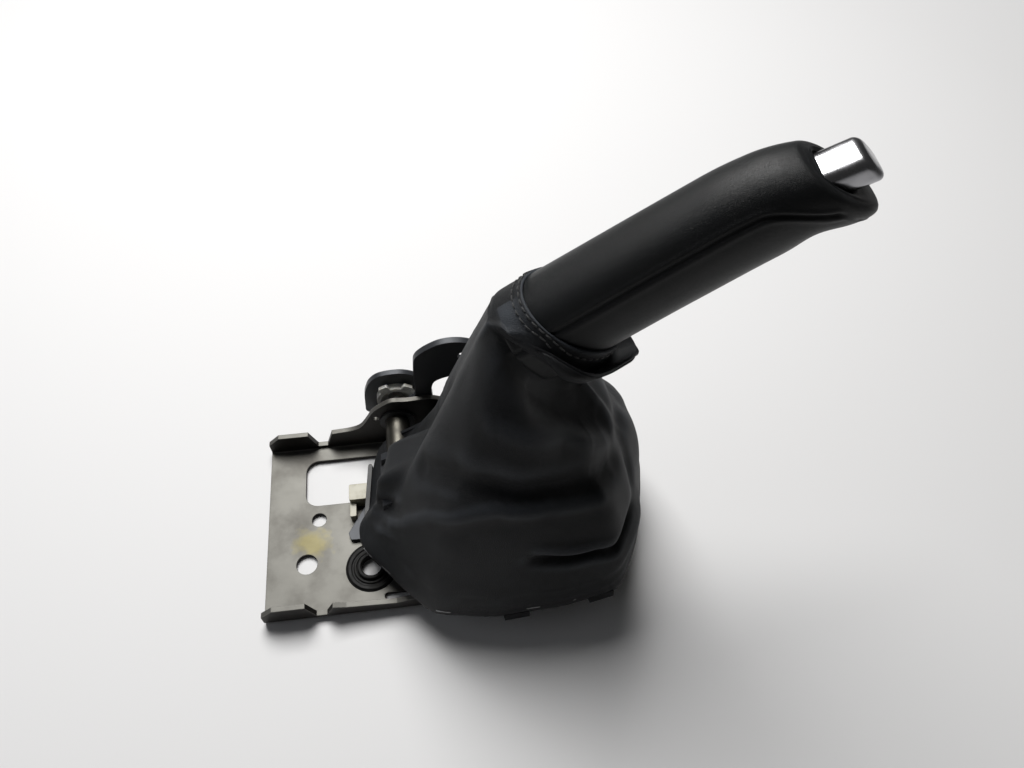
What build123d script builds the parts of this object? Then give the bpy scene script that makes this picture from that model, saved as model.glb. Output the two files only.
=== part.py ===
from build123d import *
import os
from math import atan2, cos, degrees, hypot, radians, sin

# Parking brake lever in millimetres.
# Origin: on the underside of the base floor, below the pivot axis, in the lever's middle plane.
# +X points towards the grip, +Y across the lever, +Z up from the floor the base is bolted to.

# Pressed base bracket
SHEET = 3.0
BASE_FRONT = -83.0
BASE_LENGTH = 178.0
BASE_WIDTH = 115.0
BEND_RADIUS = 4.0
FLANGE_HEIGHT = 18.5
FRONT_DROP = 3.5
NOTCH_CENTRE = -50.0
NOTCH_WIDTH = 15.0
NOTCH_DEPTH = 13.0
NEAR_FLANGE_LOW = 11.0
NEAR_FLANGE_SEAT = 16.0
MOUNT_HOLE = 8.9
MOUNT_HOLE_X = -52.6
MOUNT_HOLE_Y = 3.4
LOCATING_HOLE = 12.5
LOCATING_HOLE_X = -59.6
LOCATING_HOLE_Y = -24.8
REAR_HOLE_X = 84.0
REAR_HOLE_SPACING = 76.0
WINDOW_LEFT = -61.0
WINDOW_RIGHT = 40.0
WINDOW_NEAR = 13.0
WINDOW_FROM_EDGE = 12.7
WINDOW_CORNER = 8.0
GROMMET_X = -21.4
GROMMET_FROM_EDGE = 26.6
GROMMET_SEAT = 30.6
GROMMET_BORE = 12.0
GROMMET_LIP = 2.0
SLOT_LENGTH = 15.0
SLOT_WIDTH = 4.0
SLOT_X = -7.0
SLOT_FROM_EDGE = 8.0
FOOT_FRONT = [(-23.5, 9.0), (-34.5, -9.0), (-33.0, -13.5), (-4.0, -13.5)]
FOOT_REAR = 62.0
FOOT_FAR = 9.0
EAR_FOOT = -4.0
RIVET_DIAMETER = 5.0
RIVET_HEAD = 9.0
RIVET_HEAD_HEIGHT = 2.0
RIVET_PLACES = [(14.0, -8.0), (56.0, -14.0), (56.0, 3.0)]
EAR_TAB_HOLE = 4.0
EAR_TAB_X = -13.3
EAR_TAB_Z = 31.3

# Pivot
PIVOT_HEIGHT = 28.0
PIN_DIAMETER = 8.0
PIN_HEAD_DIAMETER = 14.0
PIN_HEAD_LENGTH = 3.0
RUNNING_FIT = 0.05
TUBE_DIAMETER = 15.0
HUB_RADIUS = 11.0
EAR_OUTLINE = [
    (-31.0, 19.5), (-24.0, 22.0), (-19.0, 30.0), (-14.8, 38.5), (-8.6, 44.1), (-2.3, 48.5),
    (6.6, 47.0), (22.0, 48.5), (34.0, 42.0), (44.0, 26.0),
]
EAR_END = 56.0
EAR_HOLE_WALL = 1.5
SPACER_DIAMETER = 10.4
WASHER_THICKNESS = 1.0
SUPPORT_SHEET = 3.0
BUSH_DIAMETER = 24.5
BUSH_RIM_WALL = 2.5
BUSH_RIM_LENGTH = 4.5
OUTER_PLATE_OFFSET = 16.0
OUTER_PLATE_SHEET = 3.5
OUTER_PLATE_OUTLINE = [
    (-21.5, 10.0), (-19.8, 32.0), (-16.0, 43.0), (-10.5, 48.8), (-3.0, 50.5),
    (6.0, 50.5), (14.0, 46.5), (21.0, 38.0), (23.0, 28.0), (23.0, 10.0),
]
OUTER_PLATE_FOOT = 30.0
CLIP_THICKNESS = 1.2
CLIP_DIAMETER = 15.0
ARM_GAP = 1.0
ARM_SHEET = 4.0
CABLE_ARM_OUTLINE = [
    (15.0, 84.3), (21.0, 90.5), (29.7, 95.6), (37.0, 96.8), (46.0, 95.4), (55.0, 89.0), (60.0, 79.0),
    (57.0, 71.0), (44.0, 66.5), (30.4, 62.7), (25.0, 59.7), (23.0, 52.0), (23.5, 42.5), (17.0, 30.0),
    (13.0, 22.0), (6.0, 20.0), (0.0, 28.0), (2.0, 38.0), (12.0, 41.5), (13.6, 52.0), (13.5, 67.6),
]
CORNER_SHARE = 0.47
CORNER_CUT = 5.0
CABLE_EYE = 8.0
CABLE_EYE_X = 44.5
CABLE_EYE_Z = 82.5

# Lever channel and its stops
CHANNEL_WIDTH = 25.0
CHANNEL_SHEET = 2.5
CHANNEL_FRONT_EDGE = [(-10.0, 22.0), (-10.0, 44.0), (-5.0, 52.0), (2.0, 57.0), (26.0, 84.0), (38.0, 130.0)]
CHANNEL_REAR_EDGE = [(71.0, 140.0), (70.0, 100.0), (74.0, 62.0)]
CHANNEL_WEB_ZONE = [
    (-20.0, 41.0), (-2.0, 41.0), (34.0, 76.0), (60.0, 150.0), (70.0, 172.0), (40.0, 200.0), (-20.0, 100.0),
]
HUB_PLATE_SHEET = 4.0
HUB_PLATE_EDGE = [
    (-9.5, 20.0), (-9.5, 44.2), (-8.6, 52.2), (0.6, 57.3), (16.0, 58.0), (26.0, 50.0), (24.0, 30.0),
]
STOP_PIN_DIAMETER = 6.0
STOP_GAP = 0.1
STOP_EDGE = [(12.0, 19.5), (66.0, 46.0)]
STOP_PIN_SHARE = 0.42

# Grip: its axis starts at the top of the lever channel
GRIP_START_X = 75.0
GRIP_START_Z = 176.0
GRIP_ANGLE = 37.0
GRIP_TUBE_DIAMETER = 20.0
GRIP_TUBE_WALL = 1.5
GRIP_TUBE_LOW = -16.0
GRIP_TUBE_HIGH = 96.0
CORE_DIAMETER = 28.0
CORE_LOW = -5.0
CORE_HIGH = 118.0
COVER_LOW = -5.0
COVER_SECTIONS = [
    (COVER_LOW, 0.0, 1.0, 1.0), (10.0, 0.0, 0.0, 0.0), (60.0, 0.8, 2.5, 1.5), (100.0, 1.0, 4.0, 2.5),
    (118.0, -0.5, 5.0, 4.5), (130.0, -4.0, 6.5, 8.0), (138.0, -8.5, 8.5, 9.0), (147.0, -12.5, 16.0, 14.0),
]
COVER_TOP_END = 132.0
COVER_LIP_END = 147.0
COVER_WIDTH = 42.0
COVER_HEIGHT = 46.5

# Release button, rod and pawl
BUTTON_BASE_X = 186.0
BUTTON_BASE_Z = 256.5
BUTTON_ANGLE = 27.0
BUTTON_WIDTH = 18.0
BUTTON_HEIGHT = 15.0
BUTTON_CORNER = 5.0
BUTTON_OUT = 15.0
BUTTON_IN = 16.0
BUTTON_TRAVEL = 6.0
BUTTON_FIT = 0.2
BUTTON_HOUSING_WALL = 2.4
BUTTON_HOUSING_INSET = 4.5
ROD_DIAMETER = 5.0
ROD_SOCKET_DEPTH = 12.0
ROD_BEND = 20.0
ROD_WINDOW = 38.0
ROD_OVERLAP = 1.0
ROD_CORNER_Z = 142.0
SPRING_WIRE = 1.0
SPRING_TURNS = 5
SPRING_SHORT = 5.5
SECTOR_SHEET = 4.0
SECTOR_RADIUS = 52.0
SECTOR_LOW_ANGLE = 6.0
SECTOR_TOOTH_ANGLE = 4.0
SECTOR_TOOTH_COUNT = 13
TOOTH_DEPTH = 2.6
PAWL_X = 61.6
PAWL_Z = 56.7
PAWL_SHEET = 6.0
PAWL_HUB_DIAMETER = 13.0
PAWL_PIN_DIAMETER = 6.0
PAWL_CONTACT_ANGLE = 12.0
PAWL_CLEARANCE = 0.3
PAWL_ARM_X = 66.5
PAWL_ARM_Z = 80.0

# Warning lamp switch
SWITCH_LEFT = -33.0
SWITCH_LENGTH = 19.0
SWITCH_WIDTH = 10.5
SWITCH_HEIGHT = 10.0
SWITCH_Y = 14.9
PLUNGER_DIAMETER = 4.0
PLUNGER_HEIGHT = 9.4
PLUNGER_GAP = 0.1
HEEL_X = -9.0
HEEL_Z = 8.8
HEEL_WIDTH = 7.0

# Gaiter, its frame and its fastenings
LEATHER = 1.6
FRAME_WALL = 2.6
FRAME_HEIGHT = 12.0
FRAME_LOW = 14.0
FRAME_TILT = 5.0
FRAME_OVERHANG = 16.0
FRAME_SETBACK = 11.5
FRAME_LEFT = [(-17.0, 24.5), (-21.5, -24.0)]
FRAME_NEAR_CORNERS = [(15.5, 6.5), (49.0, 0.0), (88.0, 1.0), (116.0, 5.5)]
FRAME_RIGHT = [(130.0, -42.0), (141.0, 4.0), (134.0, 30.0)]
FRAME_FAR_ENDS = [114.0, 22.0]
HEM_FREE_CORNER = (-10.0, -2.0)
STAPLE_LENGTH = 8.0
STAPLE_WIRE = 1.0
CUFF_LOW = -8.0
CUFF_TOP_END = 9.0
CUFF_BOTTOM_END = 27.0
CUFF_HALF_WIDTH = 25.0
CUFF_HALF_HEIGHT = 36.5
CUFF_RISE = -9.5
BAG_CENTRE_X = 60.0
BAG_CENTRE_Y = -12.0
BAG_FULLNESS = 1.5
BAG_SLACK = 0.4
BAG_TIGHT_CORNER = 0.7
# Folds of the bag: share of its height, and how far it is drawn in there on the near and the far side
BAG_FOLDS = [
    (0.0, 0.0, 0.0), (0.18, 0.0, 0.0), (0.31, 2.5, 0.0), (0.42, -1.0, -2.0),
    (0.54, -1.5, 3.5), (0.65, 5.0, 1.0), (0.79, -1.5, 0.0), (0.9, 5.0, 4.0), (1.0, 0.0, 0.0),
]
BAG_CAP = 0.05
STAPLE_SHARES = [0.127, 0.16, 0.193, 0.244, 0.345, 0.383, 0.531, 0.618, 0.755, 0.835]
CLIP_SHARES = [0.312, 0.41, 0.795]
CLIP_WIDTH = 14.0
CLIP_HEIGHT = 8.0

CLEAR = 0.3
THIN = 0.05

FLANGE_FACE = BASE_WIDTH / 2
WINDOW_FAR = FLANGE_FACE - WINDOW_FROM_EDGE
GROMMET_Y = GROMMET_FROM_EDGE - FLANGE_FACE
SLOT_Y = SLOT_FROM_EDGE - FLANGE_FACE
FRAME_NEAR = -FLANGE_FACE - FRAME_OVERHANG
FRAME_FAR = FLANGE_FACE - FRAME_SETBACK
EAR_INNER = FLANGE_FACE - SHEET
ARM_INNER = FLANGE_FACE + ARM_GAP
ARM_OUTER = ARM_INNER + ARM_SHEET
OUTER_PLATE_Y = FLANGE_FACE + OUTER_PLATE_OFFSET
OUTER_PLATE_END = OUTER_PLATE_Y + OUTER_PLATE_SHEET
CHANNEL_HALF = CHANNEL_WIDTH / 2
CHANNEL_INNER = CHANNEL_HALF - CHANNEL_SHEET
HUB_PLATE_FACE = CHANNEL_HALF + HUB_PLATE_SHEET
SUPPORT_FACE = HUB_PLATE_FACE + WASHER_THICKNESS
SUPPORT_END = SUPPORT_FACE + SUPPORT_SHEET
FOOT_TOP = SHEET + SUPPORT_SHEET
PIN_RADIUS = PIN_DIAMETER / 2
TUBE_RADIUS = TUBE_DIAMETER / 2
EAR_BUSH_RADIUS = TUBE_RADIUS + EAR_HOLE_WALL


def outline(points, radius=0):
    """A closed outline, with every corner rounded where a radius is given."""
    face = make_face(Polyline(*points, close=True))
    if radius:
        face = fillet(face.vertices(), radius)
    return face


def curved_outline(points, curved):
    """A closed outline, with the named ones of its corners swept into arcs."""
    corners = [Vector(x, z) for x, z in points]
    count = len(corners)
    edges = []
    starts = []
    ends = []
    for number, corner in enumerate(corners):
        before = corners[number - 1] - corner
        after = corners[(number + 1) % count] - corner
        cut = 0.0
        if points[number] in curved:
            cut = min(CORNER_CUT, CORNER_SHARE * min(before.length, after.length))
        starts.append(corner + before.normalized() * cut)
        ends.append(corner + after.normalized() * cut)
        if cut:
            edges.append(TangentArc(starts[number], ends[number], tangent=-before))
    for number in range(count):
        edges.append(Line(ends[number], starts[(number + 1) % count]))
    return make_face(edges)


def across(face, low, high):
    """A plate of an outline drawn in X and Z, from one Y to another."""
    return extrude(Plane.XZ.offset(-high) * face, high - low)


def shaft(diameter, low, high, x=0.0, z=PIVOT_HEIGHT):
    """A round bar along Y."""
    return across(Pos(x, z) * Circle(diameter / 2), low, high)


def upright(face, low, high):
    """A plate of an outline drawn in X and Y, from one Z to another."""
    return extrude(Plane.XY.offset(low) * face, high - low)


def polar(radius, angle):
    """A point in X and Z at a distance and an angle from the pivot axis."""
    return (radius * cos(radians(angle)), PIVOT_HEIGHT + radius * sin(radians(angle)))


def grip_point(along, rise):
    """A point in X and Z, at a distance along the grip's axis and above it."""
    run = radians(GRIP_ANGLE)
    x = GRIP_START_X + along * cos(run) - rise * sin(run)
    return x, GRIP_START_Z + along * sin(run) + rise * cos(run)


def grip_plane(along):
    """The plane across the grip's axis, with its own X across the lever."""
    run = radians(GRIP_ANGLE)
    point = (GRIP_START_X + along * cos(run), 0, GRIP_START_Z + along * sin(run))
    return Plane(origin=point, x_dir=(0, 1, 0), z_dir=(cos(run), 0, sin(run)))


def button_plane(along):
    """The plane across the button's axis, with its own X across the lever."""
    run = radians(BUTTON_ANGLE)
    point = (BUTTON_BASE_X + along * cos(run), 0, BUTTON_BASE_Z + along * sin(run))
    return Plane(origin=point, x_dir=(0, 1, 0), z_dir=(cos(run), 0, sin(run)))


def coil(radius, wire, turns, pitch):
    """A spring coil standing on the XY plane."""
    path = Helix(pitch, pitch * turns, radius)
    section = Plane(origin=path @ 0, z_dir=path % 0) * Circle(wire / 2)
    return sweep(section, path=path)


# Base bracket
def make_base_bracket():
    half = BASE_WIDTH / 2
    rear = BASE_FRONT + BASE_LENGTH
    notch_left = NOTCH_CENTRE - NOTCH_WIDTH / 2
    notch_right = NOTCH_CENTRE + NOTCH_WIDTH / 2
    notch_floor = FLANGE_HEIGHT - NOTCH_DEPTH
    ear_top = max(z for x, z in EAR_OUTLINE)
    channel_section = Pos(0, ear_top / 2 + BEND_RADIUS) * Rectangle(BASE_WIDTH, ear_top + BEND_RADIUS * 2)
    bottom = channel_section.vertices().sort_by(Axis.Y)[0:2]
    channel_section = fillet(bottom, BEND_RADIUS)
    inner = Pos(0, SHEET + ear_top) * Rectangle(BASE_WIDTH - SHEET * 2, ear_top * 2)
    inner = fillet(inner.vertices().sort_by(Axis.Y)[0:2], BEND_RADIUS - SHEET)
    channel = extrude(Plane.YZ.offset(BASE_FRONT) * (channel_section - inner), BASE_LENGTH)
    flange_start = [
        (BASE_FRONT, 0),
        (BASE_FRONT, FLANGE_HEIGHT - FRONT_DROP * 2),
        (BASE_FRONT + FRONT_DROP, FLANGE_HEIGHT - FRONT_DROP),
        (BASE_FRONT + FRONT_DROP * 2, FLANGE_HEIGHT),
        (notch_left, FLANGE_HEIGHT),
        (NOTCH_CENTRE - NOTCH_WIDTH / 5, notch_floor),
        (NOTCH_CENTRE + NOTCH_WIDTH / 5, notch_floor),
    ]
    near_side = outline(flange_start + [
        (notch_right, FLANGE_HEIGHT - FRONT_DROP),
        (notch_right + NOTCH_WIDTH / 2, FLANGE_HEIGHT - FRONT_DROP * 1.5),
        (SLOT_X, NEAR_FLANGE_LOW),
        (SLOT_X + SLOT_LENGTH, NEAR_FLANGE_SEAT),
        (rear, NEAR_FLANGE_SEAT),
        (rear, 0),
    ])
    far_side = curved_outline(flange_start + [
        (notch_right, FLANGE_HEIGHT),
    ] + EAR_OUTLINE + [
        (EAR_END, FLANGE_HEIGHT),
        (rear, FLANGE_HEIGHT),
        (rear, 0),
    ], EAR_OUTLINE)
    sides = across(near_side, -half, 0) + across(far_side, 0, half)
    body = channel & sides
    window_size = (WINDOW_RIGHT - WINDOW_LEFT, WINDOW_FAR - WINDOW_NEAR)
    window_centre = (WINDOW_LEFT + WINDOW_RIGHT) / 2, (WINDOW_NEAR + WINDOW_FAR) / 2
    cuts = Pos(*window_centre) * RectangleRounded(*window_size, WINDOW_CORNER)
    cuts += Pos(MOUNT_HOLE_X, MOUNT_HOLE_Y) * Circle(MOUNT_HOLE / 2)
    cuts += Pos(LOCATING_HOLE_X, LOCATING_HOLE_Y) * Circle(LOCATING_HOLE / 2)
    cuts += Pos(GROMMET_X, GROMMET_Y) * Circle(GROMMET_SEAT / 2)
    cuts += Pos(SLOT_X, SLOT_Y) * SlotOverall(SLOT_LENGTH, SLOT_WIDTH)
    for side in (-1, 1):
        cuts += Pos(REAR_HOLE_X, side * REAR_HOLE_SPACING / 2) * Circle(MOUNT_HOLE / 2)
    for x, y in RIVET_PLACES:
        cuts += Pos(x, y) * Circle(RIVET_DIAMETER / 2)
    body -= upright(cuts, -SHEET, SHEET * 2)
    body -= shaft(EAR_BUSH_RADIUS * 2, 0, half + SHEET)
    body -= shaft(EAR_TAB_HOLE, 0, half + SHEET, EAR_TAB_X, EAR_TAB_Z)
    return body


def make_pivot_support():
    """Foot plate on the floor with one upstanding ear beside the lever."""
    foot = outline(FOOT_FRONT + [
        (EAR_FOOT, -SUPPORT_END), (FOOT_REAR, -SUPPORT_END), (FOOT_REAR, FOOT_FAR),
    ], SHEET / 2)
    plate = upright(foot, SHEET, FOOT_TOP)
    ear = outline([
        (EAR_FOOT, SHEET), (EAR_FOOT, FOOT_TOP), (-HUB_RADIUS, PIVOT_HEIGHT),
        (-HUB_RADIUS * 0.7, PIVOT_HEIGHT + HUB_RADIUS * 0.7), (0, PIVOT_HEIGHT + HUB_RADIUS),
        (HUB_RADIUS * 0.7, PIVOT_HEIGHT + HUB_RADIUS * 0.7), (HUB_RADIUS * 1.2, PIVOT_HEIGHT),
        (HUB_RADIUS * 4.4, FOOT_TOP * 1.5), (HUB_RADIUS * 4.5, SHEET),
    ])
    body = plate + across(ear, -SUPPORT_END, -SUPPORT_FACE)
    body -= shaft(PIN_DIAMETER + THIN, -SUPPORT_END, -SUPPORT_FACE)
    rivets = Sketch()
    for x, y in RIVET_PLACES:
        rivets += Pos(x, y) * Circle(RIVET_DIAMETER / 2)
    return body - upright(rivets, 0, FOOT_TOP)


def make_support_rivets():
    """Rivets that hold the foot plate down, as separate solids."""
    rivets = []
    for x, y in RIVET_PLACES:
        shank = Pos(x, y) * Circle(RIVET_DIAMETER / 2)
        head = Pos(x, y) * Circle(RIVET_HEAD / 2)
        rivet = upright(shank, 0, FOOT_TOP) + upright(head, FOOT_TOP, FOOT_TOP + RIVET_HEAD_HEIGHT)
        rivets.append(rivet.solid())
    return Compound(rivets)


def make_ratchet_sector():
    """Toothed plate standing on the foot plate, with the lever's tube through it."""
    first = SECTOR_LOW_ANGLE
    last = first + SECTOR_TOOTH_COUNT * SECTOR_TOOTH_ANGLE
    root = SECTOR_RADIUS - TOOTH_DEPTH
    points = [(-8.0, FOOT_TOP), (-HUB_RADIUS, PIVOT_HEIGHT), (0, PIVOT_HEIGHT + HUB_RADIUS)]
    points.append(polar(root * 0.8, last + 2))
    points.append(polar(root, last))
    for tooth in range(SECTOR_TOOTH_COUNT):
        high = last - tooth * SECTOR_TOOTH_ANGLE
        points.append(polar(SECTOR_RADIUS, high - SECTOR_TOOTH_ANGLE * 0.1))
        points.append(polar(SECTOR_RADIUS, high - SECTOR_TOOTH_ANGLE * 0.25))
        points.append(polar(root, high - SECTOR_TOOTH_ANGLE))
    points.append(polar(root, -14))
    points.append((SECTOR_RADIUS - 4, FOOT_TOP))
    half = SECTOR_SHEET / 2
    body = across(outline(points), -half, half)
    body -= shaft(TUBE_DIAMETER + RUNNING_FIT * 2, -half, half)
    stop_x, stop_z = stop_pin_place()
    return body - shaft(STOP_PIN_DIAMETER, -half, half, stop_x, stop_z)


def make_pivot_pin():
    head_start = -SUPPORT_END - PIN_HEAD_LENGTH
    end = OUTER_PLATE_END + CLIP_THICKNESS * 3
    pin = shaft(PIN_DIAMETER, head_start, end) + shaft(PIN_HEAD_DIAMETER, head_start, -SUPPORT_END)
    groove = shaft(PIN_DIAMETER, OUTER_PLATE_END + THIN, OUTER_PLATE_END + THIN + CLIP_THICKNESS)
    return pin - (groove - shaft(PIN_DIAMETER - 2, OUTER_PLATE_END, OUTER_PLATE_END + CLIP_THICKNESS * 2))


def make_pivot_clip():
    """Retaining ring in the pin's groove, open at the bottom."""
    low = OUTER_PLATE_END + THIN
    high = low + CLIP_THICKNESS
    ring = shaft(CLIP_DIAMETER, low, high) - shaft(PIN_DIAMETER - 2, low, high)
    gap = Pos(0, PIVOT_HEIGHT - CLIP_DIAMETER / 2) * Rectangle(PIN_DIAMETER * 0.7, CLIP_DIAMETER)
    return ring - across(gap, low - 1, low + CLIP_THICKNESS + 1)


def make_pivot_bush():
    """Cup-shaped bearing in the outer plate, with its rim and two lugs towards the lever."""
    rim_start = OUTER_PLATE_Y - BUSH_RIM_LENGTH
    rim = shaft(BUSH_DIAMETER, rim_start, OUTER_PLATE_Y)
    rim -= shaft(BUSH_DIAMETER - BUSH_RIM_WALL * 2, rim_start, OUTER_PLATE_Y - BUSH_RIM_WALL / 2)
    hub = shaft(BUSH_DIAMETER - BUSH_RIM_WALL * 4, OUTER_PLATE_Y, OUTER_PLATE_END)
    body = rim + hub
    for angle in (56, 118):
        x, z = polar(BUSH_DIAMETER / 2 + 1.2, angle)
        lug = Pos(x, z) * Rot(0, 0, angle - 90) * RectangleRounded(6.5, 5.0, 1.2)
        body += across(lug, rim_start, rim_start + BUSH_RIM_LENGTH / 2)
    return body - shaft(PIN_DIAMETER + RUNNING_FIT * 2, rim_start, OUTER_PLATE_END)


def make_outer_plate():
    """Rounded plate outboard of the far ear, with a foot bent back to the flange."""
    face = curved_outline(OUTER_PLATE_OUTLINE, OUTER_PLATE_OUTLINE)
    body = across(face, OUTER_PLATE_Y, OUTER_PLATE_END)
    low = min(z for x, z in OUTER_PLATE_OUTLINE)
    foot = Pos(0, low + SHEET / 2) * Rectangle(OUTER_PLATE_FOOT, SHEET)
    body += across(foot, FLANGE_FACE, OUTER_PLATE_Y)
    hub_hole = BUSH_DIAMETER - BUSH_RIM_WALL * 4
    return body - shaft(hub_hole, OUTER_PLATE_Y, OUTER_PLATE_END)


def make_pivot_spacer():
    body = shaft(SPACER_DIAMETER, ARM_OUTER + CLEAR, OUTER_PLATE_Y - BUSH_RIM_WALL / 2 - THIN)
    return body - shaft(PIN_DIAMETER + RUNNING_FIT * 2, ARM_OUTER, OUTER_PLATE_Y)


def make_thrust_washer():
    body = shaft(PIN_HEAD_DIAMETER + 4, -SUPPORT_FACE, -HUB_PLATE_FACE - THIN)
    return body - shaft(PIN_DIAMETER + RUNNING_FIT * 2, -SUPPORT_FACE, -HUB_PLATE_FACE)


def make_ear_bush():
    """Flanged plastic bearing in the far ear, round the lever's cross tube."""
    body = shaft(EAR_BUSH_RADIUS * 2, EAR_INNER, FLANGE_FACE)
    body += shaft(EAR_BUSH_RADIUS * 2 + 4, EAR_INNER - EAR_HOLE_WALL, EAR_INNER)
    return body - shaft(TUBE_DIAMETER + RUNNING_FIT * 2, EAR_INNER - SHEET, FLANGE_FACE)


# Lever
def stop_edge():
    """The two ends of the channel's lower edge, which lands on the stop pin."""
    return STOP_EDGE


def stop_pin_place():
    """Centre of the stop pin: it touches the channel's lower edge from below."""
    (x0, z0), (x1, z1) = stop_edge()
    length = hypot(x1 - x0, z1 - z0)
    run_x, run_z = (x1 - x0) / length, (z1 - z0) / length
    along = length * STOP_PIN_SHARE
    down = STOP_PIN_DIAMETER / 2 + STOP_GAP
    return x0 + run_x * along + run_z * down, z0 + run_z * along - run_x * down


def channel_outline():
    """Side view of the lever's cheeks, from the hub up to the socket for the grip's tube."""
    end = CORE_LOW - 1.0
    reach = GRIP_TUBE_DIAMETER / 2 + CHANNEL_SHEET + THIN
    low, high = stop_edge()
    return outline([
        *CHANNEL_FRONT_EDGE, grip_point(GRIP_TUBE_LOW - 3, reach), grip_point(end, reach),
        grip_point(end, -reach), *CHANNEL_REAR_EDGE,
        high, low, (PIN_RADIUS, PIVOT_HEIGHT - HUB_RADIUS), (-PIN_RADIUS, PIVOT_HEIGHT - HUB_RADIUS),
    ], CHANNEL_SHEET * 0.7)


def make_lever_channel():
    """Two cheeks joined by a web along the front edge, open towards the rear."""
    face = channel_outline()
    cheeks = across(face, -CHANNEL_HALF, -CHANNEL_INNER) + across(face, CHANNEL_INNER, CHANNEL_HALF)
    inset = offset(face, -CHANNEL_SHEET, kind=Kind.INTERSECTION)
    web = across((face - inset) & outline(CHANNEL_WEB_ZONE), -CHANNEL_HALF, CHANNEL_HALF)
    body = cheeks + web
    body -= shaft(TUBE_DIAMETER + THIN, -CHANNEL_HALF, CHANNEL_HALF)
    body -= extrude(grip_plane(GRIP_TUBE_LOW) * Circle(GRIP_TUBE_DIAMETER / 2 + THIN), GRIP_TUBE_DIAMETER)
    return body - shaft(PAWL_PIN_DIAMETER, -CHANNEL_HALF, CHANNEL_HALF, PAWL_X, PAWL_Z)


def hub_plate_outline():
    """Side view of a hub plate, with the heel at its lower front."""
    return outline([
        (HEEL_X, HEEL_Z), *HUB_PLATE_EDGE, (TUBE_RADIUS, PIVOT_HEIGHT - HUB_RADIUS),
        (HEEL_X + HEEL_WIDTH, HEEL_Z + HUB_PLATE_SHEET), (HEEL_X + HEEL_WIDTH, HEEL_Z),
    ])


def make_hub_plates():
    """Thick plates outside both cheeks round the hub, with the heel that works the switch."""
    face = hub_plate_outline()
    plates = []
    for side in (-1, 1):
        faces = sorted((side * CHANNEL_HALF, side * HUB_PLATE_FACE))
        plates.append((across(face, *faces) - shaft(TUBE_DIAMETER, *faces)).solid())
    return Compound(plates)


def make_cross_tube():
    """Thick tube welded through the lever, turning on the pin and carrying the cable arm."""
    body = shaft(TUBE_DIAMETER, -HUB_PLATE_FACE, ARM_OUTER)
    return body - shaft(PIN_DIAMETER + RUNNING_FIT * 2, -HUB_PLATE_FACE, ARM_OUTER)


def make_cable_arm():
    """Arm outboard of the far ear, with an open throat and an eye for the cable's end."""
    body = across(curved_outline(CABLE_ARM_OUTLINE, CABLE_ARM_OUTLINE), ARM_INNER, ARM_OUTER)
    body += shaft(TUBE_DIAMETER + ARM_SHEET * 1.5, ARM_INNER, ARM_OUTER)
    body -= shaft(TUBE_DIAMETER, ARM_INNER, ARM_OUTER)
    return body - shaft(CABLE_EYE, ARM_INNER, ARM_OUTER, CABLE_EYE_X, CABLE_EYE_Z)


def make_stop_pin():
    x, z = stop_pin_place()
    return shaft(STOP_PIN_DIAMETER, -CHANNEL_HALF, CHANNEL_HALF, x, z)


def make_grip_tube():
    outer = GRIP_TUBE_DIAMETER / 2
    wall = Circle(outer) - Circle(outer - GRIP_TUBE_WALL)
    body = extrude(grip_plane(GRIP_TUBE_LOW) * wall, GRIP_TUBE_HIGH - GRIP_TUBE_LOW)
    slot = Pos(0, -outer) * Rectangle(ROD_DIAMETER + 2.0, outer * 2)
    return body - extrude(grip_plane(GRIP_TUBE_LOW) * slot, ROD_WINDOW)


def button_face(extra):
    """The button's section, grown by a clearance on every side."""
    size = (BUTTON_WIDTH + extra * 2, BUTTON_HEIGHT + extra * 2)
    return RectangleRounded(*size, BUTTON_CORNER + extra)


def core_outer():
    """Outer shape of the rigid core: a round sleeve and the button's housing."""
    sleeve = extrude(grip_plane(CORE_LOW) * Circle(CORE_DIAMETER / 2), CORE_HIGH - CORE_LOW)
    depth = BUTTON_IN + BUTTON_TRAVEL + SPRING_SHORT + 3.0
    wall_face = button_face(BUTTON_FIT + BUTTON_HOUSING_WALL)
    housing = extrude(button_plane(-depth) * wall_face, depth - BUTTON_HOUSING_INSET)
    return sleeve + housing


def make_grip_core():
    body = core_outer()
    body -= extrude(grip_plane(CORE_LOW) * Circle(GRIP_TUBE_DIAMETER / 2), CORE_HIGH - CORE_LOW - 4.0)
    slot = Pos(0, -CORE_DIAMETER / 2) * Rectangle(ROD_DIAMETER + 2.0, CORE_DIAMETER)
    body -= extrude(grip_plane(CORE_LOW) * slot, ROD_WINDOW + GRIP_TUBE_LOW - CORE_LOW)
    depth = BUTTON_IN + BUTTON_TRAVEL + SPRING_SHORT
    body -= extrude(button_plane(-depth) * button_face(BUTTON_FIT), depth + BUTTON_OUT)
    return body


def cover_sections():
    """Sections of the padded cover: distance along the axis, rise, width and height."""
    sections = []
    for along, rise, narrower, lower in COVER_SECTIONS:
        sections.append((along, rise, COVER_WIDTH - narrower, COVER_HEIGHT - lower))
    return sections


def grip_cover_solid():
    """The padded cover's filled shape, with the slanted end that the button comes out of."""
    sections = Sketch()
    for along, rise, width, height in cover_sections():
        sections += grip_plane(along) * Pos(0, rise) * Ellipse(width / 2, height / 2)
    side_view = outline([
        grip_point(COVER_LOW, COVER_HEIGHT),
        grip_point(COVER_TOP_END, COVER_HEIGHT),
        grip_point(COVER_TOP_END, COVER_HEIGHT / 4),
        grip_point(COVER_LIP_END, -COVER_HEIGHT / 2),
        grip_point(COVER_LIP_END, -COVER_HEIGHT),
        grip_point(COVER_LOW, -COVER_HEIGHT),
    ])
    return loft(sections, ruled=True) & across(side_view, -COVER_WIDTH, COVER_WIDTH)


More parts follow.
